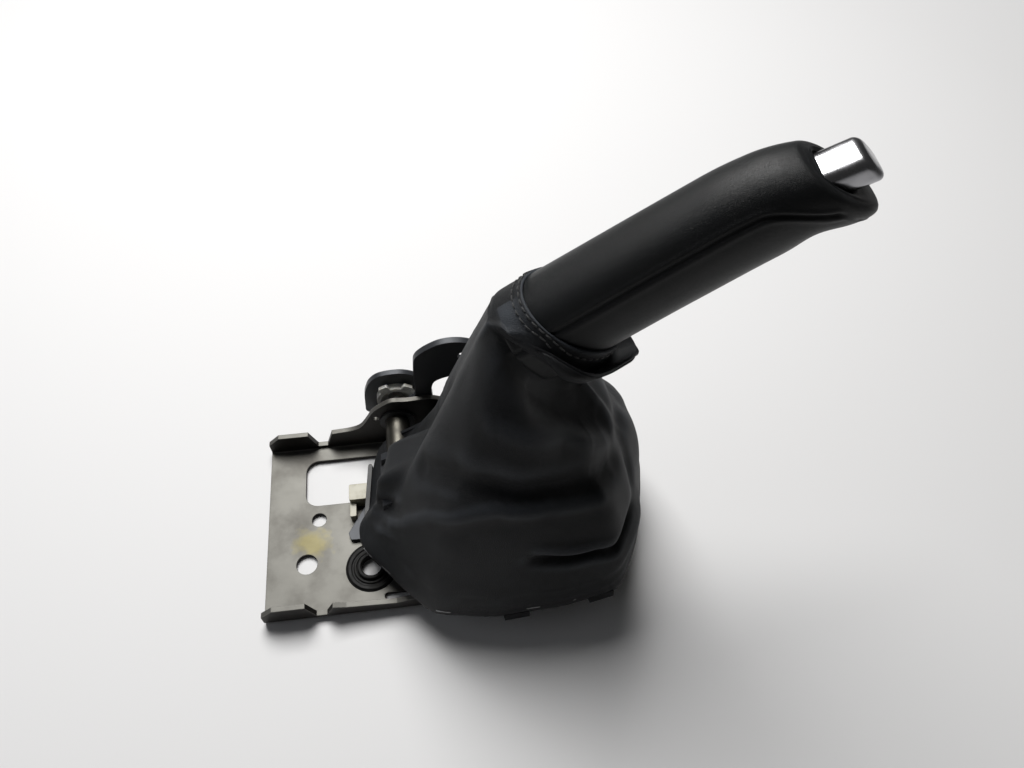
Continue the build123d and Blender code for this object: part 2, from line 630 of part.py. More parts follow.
def make_grip_cover():
    body = grip_cover_solid()
    inside = core_outer()
    mouth_face = button_face(BUTTON_FIT + 0.6)
    mouth = extrude(button_plane(-BUTTON_HOUSING_INSET - 1.0) * mouth_face, BUTTON_OUT + 20)
    return body - inside - mouth


def make_release_button():
    body = extrude(button_plane(-BUTTON_IN) * button_face(0), BUTTON_IN + BUTTON_OUT)
    body = fillet(body.faces().sort_by(Axis.X)[-1].edges(), 3.0)
    return body - extrude(button_plane(-BUTTON_IN) * Circle(ROD_DIAMETER / 2), ROD_SOCKET_DEPTH)


def rod_path():
    """The release rod's bent line, from the button down to the pawl's arm."""
    top = button_plane(-BUTTON_IN + ROD_SOCKET_DEPTH).origin
    entry = button_plane(-BUTTON_IN - 7.0).origin
    middle = grip_plane(12.0).origin
    end_x = PAWL_ARM_X + ROD_DIAMETER / 2 + CLEAR * 2
    corner = Vector(end_x - 1.0, 0, ROD_CORNER_Z)
    end = Vector(end_x, 0, PAWL_ARM_Z - ROD_OVERLAP)
    return FilletPolyline(top, entry, middle, corner, end, radius=ROD_BEND)


def release_rod_bar(diameter):
    path = rod_path()
    return sweep(Plane(origin=path @ 0, z_dir=path % 0) * Circle(diameter / 2), path=path)


def make_release_rod():
    return release_rod_bar(ROD_DIAMETER)


def make_button_spring():
    """Spring between the core's step and the button's inner end."""
    length = BUTTON_TRAVEL + SPRING_SHORT - SPRING_WIRE - THIN * 2
    spring = coil(ROD_DIAMETER / 2 + 1.8, SPRING_WIRE, SPRING_TURNS, length / SPRING_TURNS)
    return button_plane(-BUTTON_IN - length - SPRING_WIRE / 2 - THIN) * spring


def make_button_guide():
    """Bush at the end of the grip tube that guides the rod and seats the spring."""
    inner = GRIP_TUBE_DIAMETER / 2 - GRIP_TUBE_WALL
    body = extrude(grip_plane(GRIP_TUBE_HIGH - 8) * Circle(inner), 8.0)
    slot = Pos(0, 3.0) * SlotOverall(ROD_DIAMETER * 2.3, ROD_DIAMETER + 0.6, rotation=90)
    window = extrude(grip_plane(GRIP_TUBE_HIGH - 9) * slot, 10.0)
    return body - window


# Pawl
def make_pawl():
    """Pawl with a beak over the teeth, an arm for the rod and a hub across the channel."""
    tip_radius = SECTOR_RADIUS + PAWL_CLEARANCE
    low = polar(tip_radius, PAWL_CONTACT_ANGLE)
    heel = polar(tip_radius + 3.0, PAWL_CONTACT_ANGLE - 4)
    brow = polar(tip_radius + 2.5, PAWL_CONTACT_ANGLE + 4)
    hub = PAWL_HUB_DIAMETER / 2
    beak = outline([low, heel, (PAWL_X + hub * 0.8, PAWL_Z - hub * 0.4), (PAWL_X - hub, PAWL_Z + 1), brow])
    arm = outline([
        (PAWL_X - hub * 0.8, PAWL_Z), (PAWL_ARM_X - 6.0, PAWL_ARM_Z), (PAWL_ARM_X, PAWL_ARM_Z + 2),
        (PAWL_ARM_X, PAWL_ARM_Z - 8), (PAWL_X + hub * 0.8, PAWL_Z),
    ])
    half = PAWL_SHEET / 2
    body = across(beak, -half, half) + across(arm, -half, half)
    reach = CHANNEL_INNER - CLEAR
    body += shaft(PAWL_HUB_DIAMETER, -reach, reach, PAWL_X, PAWL_Z)
    return body - shaft(PAWL_PIN_DIAMETER + RUNNING_FIT * 2, -reach, reach, PAWL_X, PAWL_Z)


def make_pawl_pin():
    head = HUB_PLATE_SHEET / 2
    pin = shaft(PAWL_PIN_DIAMETER, -CHANNEL_HALF, CHANNEL_HALF, PAWL_X, PAWL_Z)
    for side in (-1, 1):
        ends = sorted((side * CHANNEL_HALF, side * (CHANNEL_HALF + head)))
        pin += shaft(PAWL_PIN_DIAMETER * 1.5, *ends, PAWL_X, PAWL_Z)
    return pin


def make_pawl_spring():
    """Torsion spring round the pawl's hub."""
    radius = PAWL_HUB_DIAMETER / 2 + SPRING_WIRE
    spring = coil(radius, SPRING_WIRE, 3, SPRING_WIRE * 1.3)
    place = Plane(origin=(PAWL_X, PAWL_SHEET / 2 + SPRING_WIRE, PAWL_Z), z_dir=(0, 1, 0))
    return place * spring


# Warning lamp switch
def make_switch_body():
    low = SHEET
    centre = SWITCH_LEFT + SWITCH_LENGTH / 2
    block = Pos(centre, SWITCH_Y) * RectangleRounded(SWITCH_LENGTH, SWITCH_WIDTH, 1.0)
    body = upright(block, low, low + SWITCH_HEIGHT)
    mouth = Pos(SWITCH_LEFT, SWITCH_Y) * Rectangle(10.0, SWITCH_WIDTH - 3.0)
    body -= upright(mouth, low + 2.0, low + SWITCH_HEIGHT - 2.0)
    hook_y = WINDOW_NEAR + 1.0
    hook = Pos(centre, hook_y + 0.6) * Rectangle(SWITCH_LENGTH * 0.5, 2.0)
    body += upright(hook, -0.8 + SHEET / 2, low)
    right = SWITCH_LEFT + SWITCH_LENGTH
    round_hole = Circle(PLUNGER_DIAMETER / 2 + RUNNING_FIT)
    bore = Plane.YZ.offset(right - 8.0) * Pos(SWITCH_Y, PLUNGER_HEIGHT) * round_hole
    return body - extrude(bore, 8.0)


def make_switch_connector():
    """Small locking shroud beside the switch."""
    low = SHEET
    shroud = Pos(SWITCH_LEFT + 1.9, 5.0) * RectangleRounded(3.8, 9.0, 0.8)
    return upright(shroud, low, low + 6.0)


def make_switch_terminals():
    blades = []
    for side in (-1, 1):
        place = Pos(SWITCH_LEFT + 2.8, SWITCH_Y + side * 2.0)
        blades.append(upright(place * Rectangle(4.4, 0.8), SHEET + 3.0, SHEET + 6.6).solid())
    return Compound(blades)


def make_switch_plunger():
    right = SWITCH_LEFT + SWITCH_LENGTH
    start = right - 7.0
    end = HEEL_X - PLUNGER_GAP
    section = Plane.YZ.offset(start) * Pos(SWITCH_Y, PLUNGER_HEIGHT) * Circle(PLUNGER_DIAMETER / 2)
    return extrude(section, end - start)


# Floor grommet
def make_floor_grommet():
    """Rubber ring snapped into the round hole in the floor."""
    place = Pos(GROMMET_X, GROMMET_Y)
    groove = Circle(GROMMET_SEAT / 2) - Circle(GROMMET_BORE / 2)
    lip = Circle(GROMMET_SEAT / 2 - 1.0) - Circle(GROMMET_BORE / 2)
    body = upright(place * groove, 0.6, SHEET)
    body += upright(place * lip, SHEET, SHEET + 0.8)
    rim = Circle(GROMMET_BORE / 2 + 2.5) - Circle(GROMMET_BORE / 2)
    return body + upright(place * rim, SHEET, SHEET + GROMMET_LIP + 1.0)


# Gaiter frame and gaiter
def frame_corners():
    """Corners of the frame's open octagon, seen from above, from one free end to the other."""
    near = [(x, FRAME_NEAR + inset) for x, inset in FRAME_NEAR_CORNERS]
    far = [(x, FRAME_FAR) for x in FRAME_FAR_ENDS]
    return FRAME_LEFT + near + FRAME_RIGHT + far


def tilted(body):
    """Leans a flat ring so that it climbs towards the grip."""
    x, _ = frame_corners()[0]
    return Pos(x, 0, FRAME_LOW) * Rot(0, -FRAME_TILT, 0) * Pos(-x, 0, -FRAME_LOW) * body


def wall_piece(start, end, width, low, high):
    """One straight stretch of a wall along the frame's line, with round ends."""
    length = hypot(end[0] - start[0], end[1] - start[1])
    angle = degrees(atan2(end[1] - start[1], end[0] - start[0]))
    centre = Pos((start[0] + end[0]) / 2, (start[1] + end[1]) / 2) * Rot(0, 0, angle)
    return upright(centre * SlotCenterToCenter(length, width), low, high)


def frame_wall(width, low, high):
    points = frame_corners()
    wall = wall_piece(points[0], points[1], width, low, high)
    for start, end in zip(points[1:], points[2:]):
        wall += wall_piece(start, end, width, low, high)
    return wall


def make_gaiter_frame():
    """Plastic ring inside the gaiter's hem, open where the cross tube passes."""
    return tilted(frame_wall(FRAME_WALL, FRAME_LOW, FRAME_LOW + FRAME_HEIGHT))


def hem_points(outwards):
    """Corners of the closed hem line, moved outwards from the frame's line."""
    x, inset = HEM_FREE_CORNER
    points = frame_corners() + [(x, FRAME_FAR + inset)]
    moved = []
    for index, (x, y) in enumerate(points):
        before = points[index - 1]
        after = points[(index + 1) % len(points)]
        first = Vector(x - before[0], y - before[1]).normalized()
        second = Vector(after[0] - x, after[1] - y).normalized()
        normal = Vector(first.Y + second.Y, -first.X - second.X)
        reach = outwards * 2 / (normal.length * normal.length)
        moved.append((x + normal.X * reach, y + normal.Y * reach))
    return moved


def hem_solid(outwards):
    return upright(outline(hem_points(outwards)), FRAME_LOW, FRAME_LOW + FRAME_HEIGHT)


def bag_ring(level, inwards):
    """Corner points of the gaiter at one level of its folds, moved inwards by a thickness."""
    share, near_fold, far_fold = level
    gap = FRAME_WALL / 2 + CLEAR + LEATHER
    x0, _ = frame_corners()[0]
    lean = radians(FRAME_TILT)
    top_plane = grip_plane(CUFF_LOW - CLEAR)
    points = []
    for x, y in hem_points(gap - inwards):
        bend = atan2(y - BAG_CENTRE_Y, x - BAG_CENTRE_X)
        flat_x = x0 + (x - x0) * cos(lean) - FRAME_HEIGHT * sin(lean)
        low = Vector(flat_x, y, FRAME_LOW + FRAME_HEIGHT * cos(lean) + (x - x0) * sin(lean))
        across_top = (CUFF_HALF_WIDTH - inwards) * sin(bend)
        rise = CUFF_RISE - (CUFF_HALF_HEIGHT - inwards) * cos(bend)
        high = top_plane.from_local_coords(Vector(across_top, rise, 0))
        tight = BAG_TIGHT_CORNER * max(0, cos(bend - radians(150.0))) ** 4
        slack = BAG_FULLNESS + BAG_SLACK * cos(bend) - tight
        pull = share ** slack if share > 0 else share
        flat = low + (high - low) * pull
        fold = near_fold * max(0, -sin(bend)) + far_fold * max(0, sin(bend))
        place = (flat.X - fold * cos(bend), flat.Y - fold * sin(bend))
        points.append(Vector(*place, low.Z + (high.Z - low.Z) * share))
    return points


def facets(lower, upper):
    """Triangles between two rings of corner points."""
    faces = []
    for index in range(len(lower)):
        after = (index + 1) % len(lower)
        faces.append(Face(Wire.make_polygon([lower[index], lower[after], upper[after]])))
        faces.append(Face(Wire.make_polygon([lower[index], upper[after], upper[index]])))
    return faces


def cap(ring):
    """Triangles from a ring of corner points to its middle."""
    middle = Vector(0, 0, 0)
    for point in ring:
        middle += point / len(ring)
    faces = []
    for index in range(len(ring)):
        faces.append(Face(Wire.make_polygon([ring[index], ring[(index + 1) % len(ring)], middle])))
    return faces


def bag_solid(inwards, levels):
    rings = [bag_ring(level, inwards) for level in levels]
    faces = cap(rings[0]) + cap(rings[-1])
    for lower, upper in zip(rings, rings[1:]):
        faces += facets(lower, upper)
    return Solid(Shell(faces))


def make_gaiter_skirt():
    """Leather bag from the frame up to the cuff, cut away where the cross tube leaves it."""
    first, last = (-BAG_CAP, 0, 0), (1 + BAG_CAP, 0, 0)
    inside = bag_solid(LEATHER, [first] + BAG_FOLDS[1:-1] + [last])
    bag = bag_solid(0, BAG_FOLDS) - inside
    gap = FRAME_WALL / 2 + CLEAR
    hem = tilted(hem_solid(gap + LEATHER) - hem_solid(gap))
    corner = Pos(-8, 46, 20) * Box(50, 44, 62)
    reach = HUB_PLATE_FACE + 1.0
    room = across(offset(channel_outline(), 2.0), -reach, reach)
    room += across(offset(hub_plate_outline(), 2.0), -reach, reach)
    return bag + hem - corner - room


def cuff_solid(inwards):
    """The cuff's filled shape with its slanted mouth, moved inwards by a thickness."""
    section = Pos(0, CUFF_RISE) * Ellipse(CUFF_HALF_WIDTH - inwards, CUFF_HALF_HEIGHT - inwards)
    tube = extrude(grip_plane(CUFF_LOW) * section, CUFF_BOTTOM_END - CUFF_LOW)
    high = CUFF_RISE + CUFF_HALF_HEIGHT
    low = CUFF_RISE - CUFF_HALF_HEIGHT
    side_view = outline([
        grip_point(CUFF_LOW, high),
        grip_point(CUFF_TOP_END - inwards, high),
        grip_point(CUFF_BOTTOM_END - inwards, low),
        grip_point(CUFF_LOW, low),
    ])
    return tube & across(side_view, -CUFF_HALF_WIDTH, CUFF_HALF_WIDTH)


def make_gaiter_cuff():
    """Leather cuff round the grip's lower end, closed onto the grip at its top."""
    return cuff_solid(0) - cuff_solid(LEATHER) - grip_cover_solid()


def along_hem(share, outwards, height):
    """A place on the outside of the hem at a share of its length, turned along it."""
    points = hem_points(outwards)
    stretches = list(zip(points, points[1:] + points[:1]))
    left = share * sum(hypot(end[0] - start[0], end[1] - start[1]) for start, end in stretches)
    for start, end in stretches:
        length = hypot(end[0] - start[0], end[1] - start[1])
        if left <= length:
            break
        left -= length
    angle = degrees(atan2(end[1] - start[1], end[0] - start[0]))
    x = start[0] + (end[0] - start[0]) * left / length
    y = start[1] + (end[1] - start[1]) * left / length
    return Pos(x, y, height) * Rot(0, 0, angle)


def make_gaiter_staples():
    """Wire staples lying on the outside of the hem."""
    outwards = FRAME_WALL / 2 + CLEAR + LEATHER + STAPLE_WIRE / 2 + THIN
    staples = []
    for share in STAPLE_SHARES:
        place = along_hem(share, outwards, FRAME_LOW + FRAME_HEIGHT * 0.92)
        staples.append(tilted(place * Box(STAPLE_LENGTH, STAPLE_WIRE, STAPLE_WIRE)).solid())
    return Compound(staples)


def make_frame_clips():
    """Spring clips hooked round the frame's lower edge."""
    sheet = 0.8
    clips = []
    inner = FRAME_WALL / 2 + THIN
    outer = FRAME_WALL / 2 + CLEAR + LEATHER + THIN
    for share in CLIP_SHARES:
        place = along_hem(share, 0, FRAME_LOW)
        clip = Pos(0, -outer - sheet / 2, CLIP_HEIGHT / 2 - sheet) * Box(CLIP_WIDTH, sheet, CLIP_HEIGHT)
        clip += Pos(0, inner + sheet / 2, CLIP_HEIGHT / 2 - sheet) * Box(CLIP_WIDTH, sheet, CLIP_HEIGHT)
        bridge = outer + inner + sheet * 2
        clip += Pos(0, (inner - outer) / 2, -sheet / 2 - THIN) * Box(CLIP_WIDTH, bridge, sheet)
        clips.append(tilted(place * clip).solid())
    return Compound(clips)


NODES = {
    "base_bracket": make_base_bracket,
    "pivot_support": make_pivot_support,
    "support_rivets": make_support_rivets,
    "ratchet_sector": make_ratchet_sector,
    "stop_pin": make_stop_pin,
    "pivot_pin": make_pivot_pin,
    "pivot_clip": make_pivot_clip,
    "pivot_bush": make_pivot_bush,
    "outer_plate": make_outer_plate,
    "pivot_spacer": make_pivot_spacer,
    "thrust_washer": make_thrust_washer,
    "ear_bush": make_ear_bush,
    "floor_grommet": make_floor_grommet,
    "switch_body": make_switch_body,
    "switch_connector": make_switch_connector,
    "switch_terminals": make_switch_terminals,
    "switch_plunger": make_switch_plunger,
    "gaiter_frame": make_gaiter_frame,
    "frame_clips": make_frame_clips,
    "gaiter_staples": make_gaiter_staples,
    "gaiter_skirt": make_gaiter_skirt,
    "gaiter_cuff": make_gaiter_cuff,
    "lever_channel": make_lever_channel,
    "hub_plates": make_hub_plates,
    "cross_tube": make_cross_tube,
    "cable_arm": make_cable_arm,
    "grip_tube": make_grip_tube,
    "grip_core": make_grip_core,
    "grip_cover": make_grip_cover,
    "button_guide": make_button_guide,
    "button_spring": make_button_spring,
    "release_button": make_release_button,
    "release_rod": make_release_rod,
    "pawl": make_pawl,
    "pawl_pin": make_pawl_pin,
    "pawl_spring": make_pawl_spring,
}

os.makedirs("parts", exist_ok=True)
for node, make in NODES.items():
    export_step(make(), os.path.join("parts", node + ".step"))
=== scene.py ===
import math

import bmesh
import bpy
import numpy as np
from mathutils import Matrix, Vector


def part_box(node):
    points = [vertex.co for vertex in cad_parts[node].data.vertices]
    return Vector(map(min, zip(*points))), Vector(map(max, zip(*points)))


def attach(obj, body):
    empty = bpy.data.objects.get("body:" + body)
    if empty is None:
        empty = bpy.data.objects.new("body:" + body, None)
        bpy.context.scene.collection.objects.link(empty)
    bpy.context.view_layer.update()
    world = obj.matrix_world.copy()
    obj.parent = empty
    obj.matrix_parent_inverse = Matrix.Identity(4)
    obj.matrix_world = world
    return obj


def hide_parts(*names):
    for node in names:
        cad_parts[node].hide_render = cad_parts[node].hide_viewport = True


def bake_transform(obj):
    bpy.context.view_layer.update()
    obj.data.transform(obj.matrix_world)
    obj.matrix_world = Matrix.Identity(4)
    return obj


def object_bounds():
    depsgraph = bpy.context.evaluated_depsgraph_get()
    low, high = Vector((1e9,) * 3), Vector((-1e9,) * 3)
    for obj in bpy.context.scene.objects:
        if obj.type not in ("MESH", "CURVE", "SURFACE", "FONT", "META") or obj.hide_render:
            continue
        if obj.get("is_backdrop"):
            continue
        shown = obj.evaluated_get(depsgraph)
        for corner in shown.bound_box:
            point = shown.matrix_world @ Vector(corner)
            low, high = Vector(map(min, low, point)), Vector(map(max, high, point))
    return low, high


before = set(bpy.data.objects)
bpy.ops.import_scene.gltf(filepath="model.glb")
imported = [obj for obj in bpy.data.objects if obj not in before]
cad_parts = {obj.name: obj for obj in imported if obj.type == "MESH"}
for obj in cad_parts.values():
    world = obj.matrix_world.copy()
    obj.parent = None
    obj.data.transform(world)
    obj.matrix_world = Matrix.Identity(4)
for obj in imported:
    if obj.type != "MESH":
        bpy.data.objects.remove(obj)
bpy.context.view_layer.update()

bl_info = {
    "name": "Parking brake lever looks",
    "version": (1, 0, 0),
    "blender": (4, 5, 0),
    "location": "View3D > Sidebar > Brake lever",
    "description": "Leather gaiter, padded grip, metal parts, finishes and studio of a parking brake lever",
    "category": "Object",
}

# Row frame in metres: X towards the grip, Y across the lever, Z up from the floor.
MM = 0.001

# The grip's axis, as the solids have it
GRIP_START = np.array([75.0, 0.0, 176.0]) * MM
GRIP_ANGLE = math.radians(37.0)
ALONG = np.array([math.cos(GRIP_ANGLE), 0.0, math.sin(GRIP_ANGLE)])
ACROSS = np.array([0.0, 1.0, 0.0])
RISE = np.array([-math.sin(GRIP_ANGLE), 0.0, math.cos(GRIP_ANGLE)])
BUTTON_BASE = np.array([186.0, 0.0, 256.5]) * MM
BUTTON_ANGLE = math.radians(27.0)
BUTTON_ALONG = np.array([math.cos(BUTTON_ANGLE), 0.0, math.sin(BUTTON_ANGLE)])
BUTTON_RISE = np.array([-math.sin(BUTTON_ANGLE), 0.0, math.cos(BUTTON_ANGLE)])

# The button and the mouth and chamber round it, as half widths and half heights
BUTTON_HALF = (9 * MM, 7.5 * MM)
MOUTH_HALF = (9.8 * MM, 8.3 * MM)
CHAMBER_HALF = (11.8 * MM, 10.3 * MM)
BUTTON_BACK = -15.9 * MM
BUTTON_FACE = 15.2 * MM
BUTTON_ROUNDING = 3.0 * MM
BUTTON_CORNER = 0.6

# The grip: its start, its slanting end, the bore for its tube, and how square its section is
GRIP_LOW = -5.0 * MM
GRIP_END = 132.5 * MM
GRIP_END_SLOPE = 0.4
GRIP_BORE = 14.15 * MM
GRIP_CORNER = 2 / 2.25
GRIP_STEPS = 110

# Corners of the gaiter's frame seen from above, from one free end round to the other, and the
# corner of the hem that closes it over the cross tube
FRAME_CORNERS = [
    (-17.0, 24.5), (-21.5, -24.0), (15.5, -67.0), (49.0, -73.5), (88.0, -72.5), (116.0, -68.0),
    (130.0, -42.0), (141.0, 4.0), (134.0, 30.0), (114.0, 46.0), (22.0, 46.0), (-10.0, 44.0),
]
FRAME_LOW = 14.0 * MM
FRAME_HEIGHT = 12.0 * MM
FRAME_TILT = math.radians(5.0)
FRAME_WALL = 2.6 * MM
HEM_GAP = 0.3 * MM
HEM_LIFT = 5.6 * MM
HEM_CORNER = 9 * MM

# Rows of the gaiter's surface, from the hem to the seam on the grip
HEM_ROWS = 5
BAG_STEPS = 84
LIP_ROWS = 12
ROLL_ROWS = 7
VALLEY_ROWS = 15

# Where the cuff narrows below its lip, and the half width and half height of the seam on the grip
CUFF_WAIST = -8.3 * MM
SEAM_HALF = (22.7 * MM, 25.0 * MM)

# Staples along the hem: legs, the bend of their shoulders, and the share of the hem at each one
STAPLE_LEG = 3.0 * MM
STAPLE_SHOULDER = 0.8 * MM
STAPLE_PLACES = (0.127, 0.16, 0.193, 0.244, 0.345, 0.383, 0.531, 0.618, 0.755, 0.835)

# Points round each piece
GAITER_COLUMNS = 240
HEM_POINTS = 481
GRIP_COLUMNS = 256
TURNED_COLUMNS = 96

# Stations along the grip: distance, rise, width and height of the section
GRIP_STATIONS = np.array([
    (-5.0, 0.0, 41.0, 45.5), (10.0, 0.0, 42.0, 46.5), (60.0, 0.8, 39.5, 45.0), (100.0, 1.0, 38.0, 44.0),
    (118.0, -0.5, 37.0, 42.0), (130.0, -4.0, 35.5, 38.5), (138.0, -8.5, 33.5, 37.5),
    (147.0, -12.5, 26.0, 32.5),
]) * MM


# The photograph's camera, worked out from the straight edges and round holes of the base
CAMERA_PLACE = (0.034138, -0.227171, 0.469223)
CAMERA_RIGHT = Vector((0.9925931, -0.12118898, 0.00849487))
CAMERA_UP = Vector((0.09514608, 0.81895793, 0.56591089))
CAMERA_AHEAD = Vector((0.0755391, 0.560911, -0.82442265))


# Small helpers

def linear(code):
    """A colour from its sRGB hex code, as Blender's linear values."""
    parts = [int(code[i:i + 2], 16) / 255 for i in (1, 3, 5)]
    return tuple([c / 12.92 if c <= 0.04045 else ((c + 0.055) / 1.055) ** 2.4 for c in parts] + [1.0])


# The pale backdrop, which only the camera sees
BACKDROP = linear("#f4f4f4")


def smooth_step(low, high, value):
    """A soft step from 0 at the low value to 1 at the high one."""
    share = np.clip((value - low) / (high - low), 0.0, 1.0)
    return share * share * (3 - 2 * share)


def hump(value, middle, width):
    """A soft bump, 1 high, round a middle value."""
    return np.exp(-((value - middle) / width) ** 2)


def round_turn(columns):
    """Angles of evenly spaced points round an axis."""
    return 2 * math.pi * np.arange(columns) / columns


def squared(turn, power):
    """Out and up, from -1 to 1, of a circle that is squared up the more the lower its power."""
    out, up = np.cos(turn), np.sin(turn)
    return np.sign(out) * np.abs(out) ** power, np.sign(up) * np.abs(up) ** power


def place(along, across, rise):
    """Points from distances along, across and above the grip's axis."""
    along, across, rise = np.broadcast_arrays(along, across, rise)
    return GRIP_START + along[..., None] * ALONG + across[..., None] * ACROSS + rise[..., None] * RISE


def mesh_piece(name, points, faces, smooth=True):
    """A mesh object in the scene, from its points and faces."""
    mesh = bpy.data.meshes.new(name)
    mesh.from_pydata([tuple(p) for p in np.asarray(points, float)], [], faces)
    mesh.validate()
    piece = bpy.data.objects.new(name, mesh)
    bpy.context.scene.collection.objects.link(piece)
    if smooth:
        mesh.shade_smooth()
    return piece


def ring_faces(rows, columns, looped=False):
    """Quads between rings of points, and from the last ring to the first where they loop."""
    faces = []
    for j in range(rows if looped else rows - 1):
        m = (j + 1) % rows
        for i in range(columns):
            k = (i + 1) % columns
            faces.append((j * columns + i, j * columns + k, m * columns + k, m * columns + i))
    return faces


def keep_modified(piece):
    """Turns a piece and its modifiers into a plain mesh."""
    graph = bpy.context.evaluated_depsgraph_get()
    mesh = bpy.data.meshes.new_from_object(piece.evaluated_get(graph), depsgraph=graph)
    piece.modifiers.clear()
    old = piece.data
    piece.data = mesh
    mesh.name = piece.name
    if old.users == 0:
        bpy.data.meshes.remove(old)
    return piece


def face_outwards(piece):
    """Joins points that coincide and turns all faces outwards."""
    shape = bmesh.new()
    shape.from_mesh(piece.data)
    bmesh.ops.remove_doubles(shape, verts=shape.verts, dist=1e-6)
    bmesh.ops.recalc_face_normals(shape, faces=shape.faces)
    shape.to_mesh(piece.data)
    shape.free()


def wear_and_highlight_attribute(piece, values):
    """Stores where a surface is paler, from 0 to 1, for its material: rubbed places and painted highlights.
    """
    attribute = piece.data.attributes.new("wear_and_highlight", "FLOAT", "POINT")
    attribute.data.foreach_set("value", np.asarray(values, np.float32))


def settle(piece, body, material, replaced=()):
    """Gives a finished piece its material, its body and the solids it stands for."""
    piece.data.materials.clear()
    piece.data.materials.append(material)
    if body:
        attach(piece, body)
    if replaced:
        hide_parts(*replaced)
    return piece


# Materials

# Where inputs are numbered: Map Range has 0 the value, 1 and 2 the range it comes from, 3 and 4 the
# range it goes to. Mix has 0 the share, 6 and 7 the two colours, and its result is output 2.

def connect(tree, node, sockets):
    """Feeds each input from a socket or from a node's first output, or sets it to a plain value."""
    for name, value in sockets.items():
        if isinstance(value, bpy.types.Node):
            value = value.outputs[0]
        if isinstance(value, bpy.types.NodeSocket):
            tree.links.new(value, node.inputs[name])
        else:
            node.inputs[name].default_value = value


def add(tree, kind, sockets=None, **settings):
    """Adds a node with its settings and with what its inputs hold or are fed by."""
    made = tree.nodes.new(kind)
    for name, value in settings.items():
        setattr(made, name, value)
    connect(tree, made, sockets or {})
    return made


def material_tree(name):
    """A new material with its tree, its shader and a node for its coordinates."""
    material = bpy.data.materials.new(name)
    material.use_nodes = True
    tree = material.node_tree
    return material, tree, tree.nodes["Principled BSDF"], add(tree, "ShaderNodeTexCoord")


def per_metre(millimetres):
    """Texture scale whose cells are this many millimetres across."""
    return 1.0 / (millimetres * MM)


def leather(name, base, deep, wear_and_highlight, grain_mm, grain_height_mm, roughness, sheen):
    """Pebbled leather: Voronoi pebbles, finer pores, slow colour change, and paler places that are partly
    rubbed and partly painted highlights.
    """
    material, tree, shader, place_in = material_tree(name)
    here = place_in.outputs["Object"]
    warp = add(tree, "ShaderNodeTexNoise",
               {"Vector": here, "Scale": per_metre(grain_mm * 3), "Detail": 2.0})
    shift = add(tree, "ShaderNodeVectorMath",
                {0: warp.outputs["Color"], 1: (grain_mm * MM * 0.6,) * 3}, operation="MULTIPLY")
    moved = add(tree, "ShaderNodeVectorMath", {0: here, 1: shift}, operation="ADD")
    pebbles = add(tree, "ShaderNodeTexVoronoi", {"Vector": moved, "Scale": per_metre(grain_mm)},
                  feature="DISTANCE_TO_EDGE")
    pores = add(tree, "ShaderNodeTexNoise",
                {"Vector": here, "Scale": per_metre(grain_mm * 0.35), "Detail": 3.0})
    patches = add(tree, "ShaderNodeTexNoise", {"Vector": here, "Scale": per_metre(45.0), "Detail": 3.0})
    valley = add(tree, "ShaderNodeMapRange", {0: pebbles, 1: 0.0, 2: 0.16})
    uneven = add(tree, "ShaderNodeMapRange", {0: patches, 1: 0.35, 2: 0.7})
    mixed = add(tree, "ShaderNodeMix", {0: uneven, 6: base, 7: deep}, data_type="RGBA")
    dark = add(tree, "ShaderNodeMix", {0: valley, 6: deep, 7: mixed.outputs[2]}, data_type="RGBA")
    # The stored share brings in the paler colour: rubbed folds and painted highlights
    rub = add(tree, "ShaderNodeAttribute", attribute_name="wear_and_highlight")
    specks = add(tree, "ShaderNodeMapRange", {0: pores, 1: 0.3, 2: 0.7, 3: 0.6, 4: 1.2})
    wear_and_highlight_share = add(tree, "ShaderNodeMath", {0: rub.outputs["Fac"], 1: specks},
               operation="MULTIPLY", use_clamp=True)
    colour = add(tree, "ShaderNodeMix", {0: wear_and_highlight_share, 6: dark.outputs[2], 7: wear_and_highlight}, data_type="RGBA")
    rough = add(tree, "ShaderNodeMapRange",
                {0: patches, 1: 0.3, 2: 0.75, 3: roughness - 0.05, 4: roughness + 0.08})
    height = add(tree, "ShaderNodeMath", {0: pores, 1: 0.25, 2: valley}, operation="MULTIPLY_ADD")
    bump = add(tree, "ShaderNodeBump",
               {"Height": height, "Distance": grain_height_mm * MM, "Strength": 0.8})
    connect(tree, shader, {
        "Base Color": colour.outputs[2], "Roughness": rough, "Normal": bump, "IOR": 1.5,
        "Specular IOR Level": 0.27, "Sheen Weight": sheen, "Sheen Roughness": 0.45,
        "Sheen Tint": linear("#8f959c"),
    })
    return material


